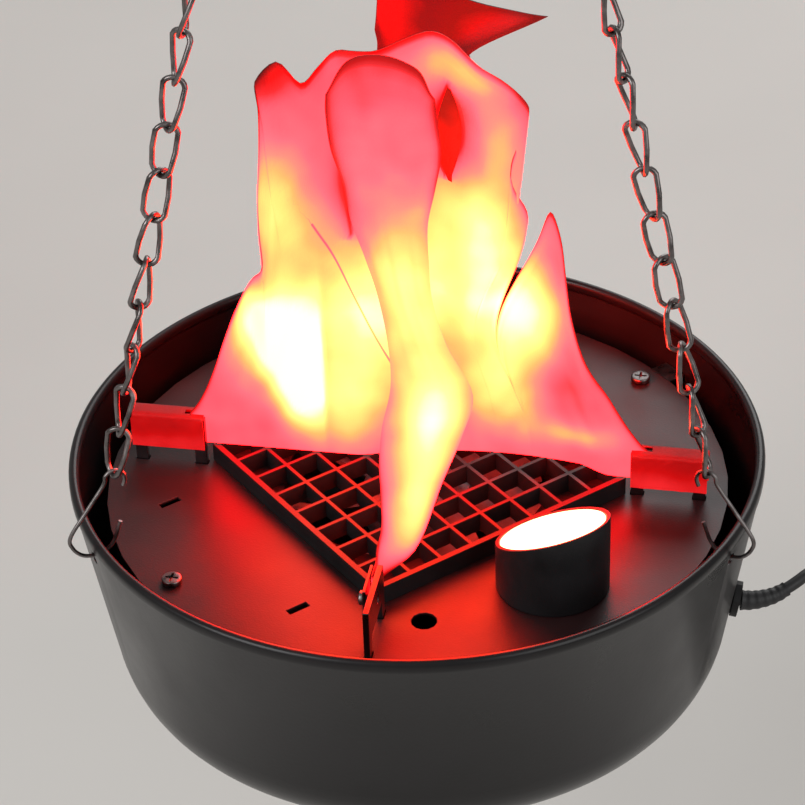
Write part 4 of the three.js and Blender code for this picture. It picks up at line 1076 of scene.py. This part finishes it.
def cross_place(row, up):
    """A place on the cross silk, on the line that a row of shares gives, that far up it."""
    begin, end, top = row
    along = mixed(begin, end, up)
    free = free_of_clamps(along)
    fold = math.sin(math.pi * pleat_count * along) * pleat_depth * up * free
    spot = Vector((along * ripple_across, up * ripple_up, ripple_side))
    ripple = noise.noise(spot) * ripple_depth * up * free
    place = Vector((along * silk_half, fold + ripple, silk_bottom + up * (silk_corner + silk_height * top)))
    place.x += drawn_in(place)
    place.z += lifted(along) * (1 - up) ** 2
    for slit in slits:
        open_share = slit_opening(slit, up)
        if open_share is not None:
            away = begin - slit["share"]
            fade = math.exp(-(away / slit_fade) ** 2) * open_share
            beside = math.exp(-(away / pull_reach) ** 2)
            apart = math.copysign(slit["width"] / 2, away) * fade
            place.x += apart - away * silk_half * slit_pull * beside
            place.y += math.copysign(slit["step"], away) * fade
    return place

# %% How far a place is from the cut
# Painted shade deepens the cloth along each slit, as at a cut edge: the slit's half width and a scale on the
# distance set how far it reaches.
slit_half, slit_shade_scale = 1.4, 0.8


def cross_cut(across, up):
    """How many millimetres a place on the cross silk is from its cut edge or from a slit."""
    row = on_line(rows, across)
    length = silk_corner + silk_height * row.z
    nearest = (1 - up) * length
    for slit in slits:
        open_share = slit_opening(slit, up)
        if open_share is not None:
            beside = abs(row.x - slit["share"]) * silk_half - slit_half * open_share
            nearest = min(nearest, max(beside, 0) * slit_shade_scale)
    return nearest

# %% The left to right silk
cross_rows = 56
cross_lines = [[cross_place(row, k / cross_rows) for k in range(cross_rows + 1)] for row in fine_rows]
torn = {
    (i, k)
    for i, (a, b) in enumerate(zip(fine_rows, fine_rows[1:])) for k in range(cross_rows) for slit in slits
    if slit["open"] and a.x <= slit["share"] < b.x and slit["low"] <= (k + 0.5) / cross_rows <= slit["high"]
}
# Painted pools of light on the cross silk, with painted shade where the strength is negative.
cross_glows = [
    (-57, 47, 18, 22, 0.62), (-46, 22, 10, 19, 0.50), (-51, 100, 15, 27, 0.27), (-50, 124, 12, 15, 0.09),
    (-22, 60, 26, 34, 0.31), (6, 74, 26, 34, 0.28), (32, 76, 15, 28, 0.24), (26, 110, 19, 22, 0.27),
    (37, 143, 11, 16, 0.22), (19, 168, 19, 11, 0.28), (-27, 17, 18, 27, 0.28), (46, 61, 17, 23, 0.31),
    (34, 25, 18, 21, 0.28), (66, 9, 16, 6, 0.20), (-82, 8, 18, 14, -0.03), (10, -10, 60, 5, -0.05),
    (-54, 166, 12, 12, -0.22), (50, 150, 8, 20, -0.14), (70, 34, 12, 14, -0.02),
    (57, 31, 8, 11, -0.08),
]
cross = sheet("silk_cross_cut", cross_lines, cross_cut, cross_glows, torn=torn)
print("cross silk of", len(cross.data.polygons), "cells and", round(flat_area(cross), 4), "m2")

# %% [markdown]
# ### The front and the back tongue
# A tongue is clamped flat at its arm, stands up in the air and rounds over on the way. Stations give its
# middle and its half width on the way up, as shares of the silk's half width, outwards, sideways and up.

# %% Stations of the tongues
front_shares = [
    ((1, 0, 0.069), (0, 0, -0.069)), ((0.95, 0, 0.069), (0, 0, -0.069)), ((0.9, 0, 0.072), (0, 0, -0.069)),
    ((0.865, 0.005, 0.1), (0.01, 0.01, -0.065)), ((0.787, 0.074, 0.194), (0.02, 0.074, -0.043)),
    ((0.617, 0.096, 0.364), (0, 0.128, -0.021)), ((0.489, 0.122, 0.491), (0, 0.165, 0)),
    ((0.362, 0.144, 0.619), (0, 0.17, 0)), ((0.255, 0.07, 0.766), (0, 0.125, 0)),
    ((0.191, 0.012, 0.94), (0, 0.112, 0)), ((0.165, -0.022, 1.108), (0, 0.13, 0)),
    ((0.155, -0.05, 1.27), (0, 0.155, 0)), ((0.149, -0.047, 1.43), (0, 0.185, 0)),
    ((0.149, -0.056, 1.59), (0, 0.222, 0)), ((0.149, -0.068, 1.75), (0, 0.222, 0)),
]
front_crest = [(-0.285, 1.84), (-0.2, 1.98), (-0.06, 2.02), (0.08, 1.96), (0.145, 1.84)]
back_shares = [
    ((1, 0, 0.069), (0, 0, -0.069)), ((0.95, 0, 0.069), (0, 0, -0.069)), ((0.9, 0, 0.075), (0, 0, -0.069)),
    ((0.85, 0, 0.14), (0, 0.02, -0.06)), ((0.75, 0, 0.36), (0, 0.12, -0.02)),
    ((0.64, 0.01, 0.6), (0, 0.18, 0)), ((0.54, 0.02, 0.86), (0, 0.22, 0)),
    ((0.46, 0.02, 1.12), (0, 0.24, 0)), ((0.4, 0.02, 1.38), (0, 0.24, 0)),
    ((0.36, 0.01, 1.62), (0, 0.21, 0)), ((0.36, 0.01, 1.78), (0, 0.19, 0)),
]
back_crest = [(-0.19, 1.86), (-0.13, 2.25), (0.05, 2.1), (0.27, 2.0), (0.52, 1.97)]
print(len(front_shares), "stations in front and", len(back_shares), "at the back")

# %% Lines of a tongue
crown_share = 0.2
free_from, free_over = 0.25, 0.3
sway_across, sway_up, sway_side, sway_depth = 2.2, 6, 7.7, 2.4


def tongue_lines(stations, crest, outward, columns=28, rows=84):
    """The lines of cloth of one tongue, from its clamped edge to its crest."""
    middles = [Vector(middle) for middle, _ in stations]
    halves = [Vector(half) for _, half in stations]
    crest_line = [Vector((side, up, 0)) for side, up in crest]
    lines = []
    for i in range(columns + 1):
        step = 2 * i / columns - 1
        top = on_line(crest_line, i / columns)
        column = []
        for middle, half in zip(middles, halves):
            place = middle + half * step
            crown = (1 - step * step) * crown_share * abs(half.y)
            column.append(Vector((place.y, outward * (place.x + crown), place.z)) * silk_half)
        column.append(Vector((top.x, outward * middles[-1].x, top.y)) * silk_half)
        line = []
        for k in range(rows + 1):
            up = k / rows
            place = on_line(column, up)
            free = min(max((up - free_from) / free_over, 0), 1)
            spot = Vector((step * sway_across, up * sway_up, sway_side * outward))
            place.y += noise.noise(spot) * sway_depth * free * outward
            line.append(place + Vector((0, 0, silk_bottom)))
        lines.append(line)
    return lines

# %% How far a place on a tongue is from its edges
melt_share, melt_reach, melt_glows = 0.56, 0.15, 4


def tongue_cut(shares):
    """A measure of how many millimetres a place on a tongue is from its sides or its crest. In front of the
    brightest cloth its sides melt into the painted light and get no painted shade at the edge."""
    halves = [Vector(half) for _, half in shares]

    def cut(across, up):
        half = on_line(halves, min(up * len(halves) / (len(halves) - 1), 1))
        sides = (1 - abs(2 * across - 1)) * max(abs(half.y), abs(half.z)) * silk_half
        melted = melt_glows * cut_glow * math.exp(-((up - melt_share) / melt_reach) ** 2)
        return min(sides, (1 - up) * silk_height) + melted
    return cut

# %% The two tongues
# Painted pools of light on the tongues, with painted shade where the strength is negative. The back tongue
# also gets painted shade all over, and deeper painted shade where it shows through the opening.
front_glows = [
    (17, 42, 13, 15, 0.36), (3, 84, 24, 38, 0.34), (13, 16, 10, 18, 0.26), (-8, 166, 14, 12, -0.05),
]
back_glows = [
    (0, 30, 50, 40, 0.2), (8, 146, 30, 26, -0.16), (6, 186, 12, 16, -0.09), (-15, 186, 7, 22, 0.14),
    (38, 184, 14, 8, 0.04),
]
front = sheet("silk_front_cut", tongue_lines(front_shares, front_crest, -1), tongue_cut(front_shares),
              front_glows)
back = sheet("silk_back_cut", tongue_lines(back_shares, back_crest, 1), tongue_cut(back_shares),
             back_glows, sheet_shade=0.34)
print("tongues of", round(flat_area(front), 4), "and", round(flat_area(back), 4), "m2")

# %% [markdown]
# ### Hems over the arms
# At the left and the right arm the end of the cloth is turned over the bar and hides the clamp, so a dark
# red hem shows there and no metal. It is a strip laid over the bar like a saddle and open below, a little
# wider than the clamp and its screw. A slot in the saddle's top lets the silk rise out of the clamp.
# Little light comes through a hem. One wide glow warms its lower edge a little.

# %% Hems
hem_section = [(-4.7, -10.8), (-4.6, -4), (-4.6, 2.4), (-3.9, 4.4), (-0.5, 4.8), (2.9, 4.5), (3.8, 2.4),
               (3.8, -4), (3.9, -10.8)]
hem_from, hem_to, hem_columns, hem_steps = 87.4, 117.8, 30, 4
hem_slot, slot_past = 0.8, 0.6
puff_along, puff_across, puff_height = 5, 4, 0.5
# Painted shade over the whole hem, and one wide painted glow along its lower edge.
hem_shade, hem_light = 0.25, (0, -9, 400, 6, 0.09)


def hem(side):
    """The strip over one arm's bar."""
    section = smooth_line([Vector(place) for place in hem_section], hem_steps)
    lines = []
    for i in range(hem_columns + 1):
        out = mixed(hem_from, hem_to, i / hem_columns)
        spots = [Vector((out / puff_along, k / puff_across, arm_angles[side])) for k in range(len(section))]
        puffs = [abs(noise.noise(spot)) * puff_height for spot in spots]
        lines.append([turned((out, y + math.copysign(puff, y), z), arm_angles[side])
                      for (y, z), puff in zip(section, puffs)])
    left_out = {(i, k) for i in range(hem_columns) for k, (a, b) in enumerate(zip(section, section[1:]))
                if a.x < hem_slot and b.x > -hem_slot
                and mixed(hem_from, hem_to, i / hem_columns) < silk_half + slot_past}
    return sheet(f"silk_hem_{side}", lines, lambda across, up: silk_half, [hem_light], hem_shade, left_out)


hems = [(hem(side), [], [f"silk_arm_{side}"], (0.0312, 0.0392)) for side in ("right", "left")]
print(len(hems), "hems of", len(hems[0][0].data.polygons), "cells each")

# %% Thickness, body and cut sizes
silk_thickness = 0.5
for piece, solids, arms, size in (
    (cross, ["silk_cross"], ["silk_arm_left", "silk_arm_right"], (0.19, 0.2)),
    (front, ["silk_front"], ["silk_arm_front"], (0.05, 0.24)),
    (back, ["silk_back"], ["silk_arm_back"], (0.08, 0.25)),
    *hems,
):
    area = flat_area(piece)
    share = area / (size[0] * size[1])
    applied(piece, "SOLIDIFY", thickness=silk_thickness * MM, offset=0)
    done(piece, piece.name, silk, solids, smooth=60)
    print(piece.name, "is cut from", size, "m and uses", round(share, 2), "of it")

# %% [markdown]
# ## Floor and studio light
# The light hangs over a pale floor. Three large soft lamps and an even pale sky show its colours as they
# are, and leave a soft shadow on the floor.

# %% Floor
start()
floor_size, floor_height = 24, -0.96
bpy.ops.mesh.primitive_grid_add(x_subdivisions=8, y_subdivisions=8, size=floor_size,
                                location=(0, 0, floor_height))
floor = bpy.context.object
floor.name = "studio_floor"
floor.data.materials.append(surface("pale_floor", "#cfccc8", "#d6d3cf", 400, 20, 0.1, (0.8, 0.9)))
print("floor", round(rim_height - floor_height, 2), "m below the rim")

# %% Sky and lamps
sky_shade, sky_strength = "#dcdad8", 0.55
world = bpy.data.worlds.new("studio_sky")
bpy.context.scene.world = world
world.use_nodes = True
sky = world.node_tree.nodes["Background"]
sky.inputs["Color"].default_value = paint(sky_shade)
sky.inputs["Strength"].default_value = sky_strength
for name, place, size, power in (
    ("key_softbox", (-1.1, -1.3, 0.5), 1.2, 22), ("fill_softbox", (1.4, -0.9, 0.2), 1.4, 10),
    ("back_softbox", (0.2, 1.6, 0.4), 1.2, 10),
):
    lamp_data = bpy.data.lights.new(name, "AREA")
    lamp_data.shape = "DISK"
    lamp_data.size = size
    lamp_data.energy = power
    lamp = linked(bpy.data.objects.new(name, lamp_data))
    lamp.location = place
    lamp.rotation_euler = (at_rim(0, 0) - Vector(place)).to_track_quat("-Z", "Y").to_euler()
bpy.context.scene.view_settings.view_transform = "Standard"
print(len(bpy.data.lights), "lamps")
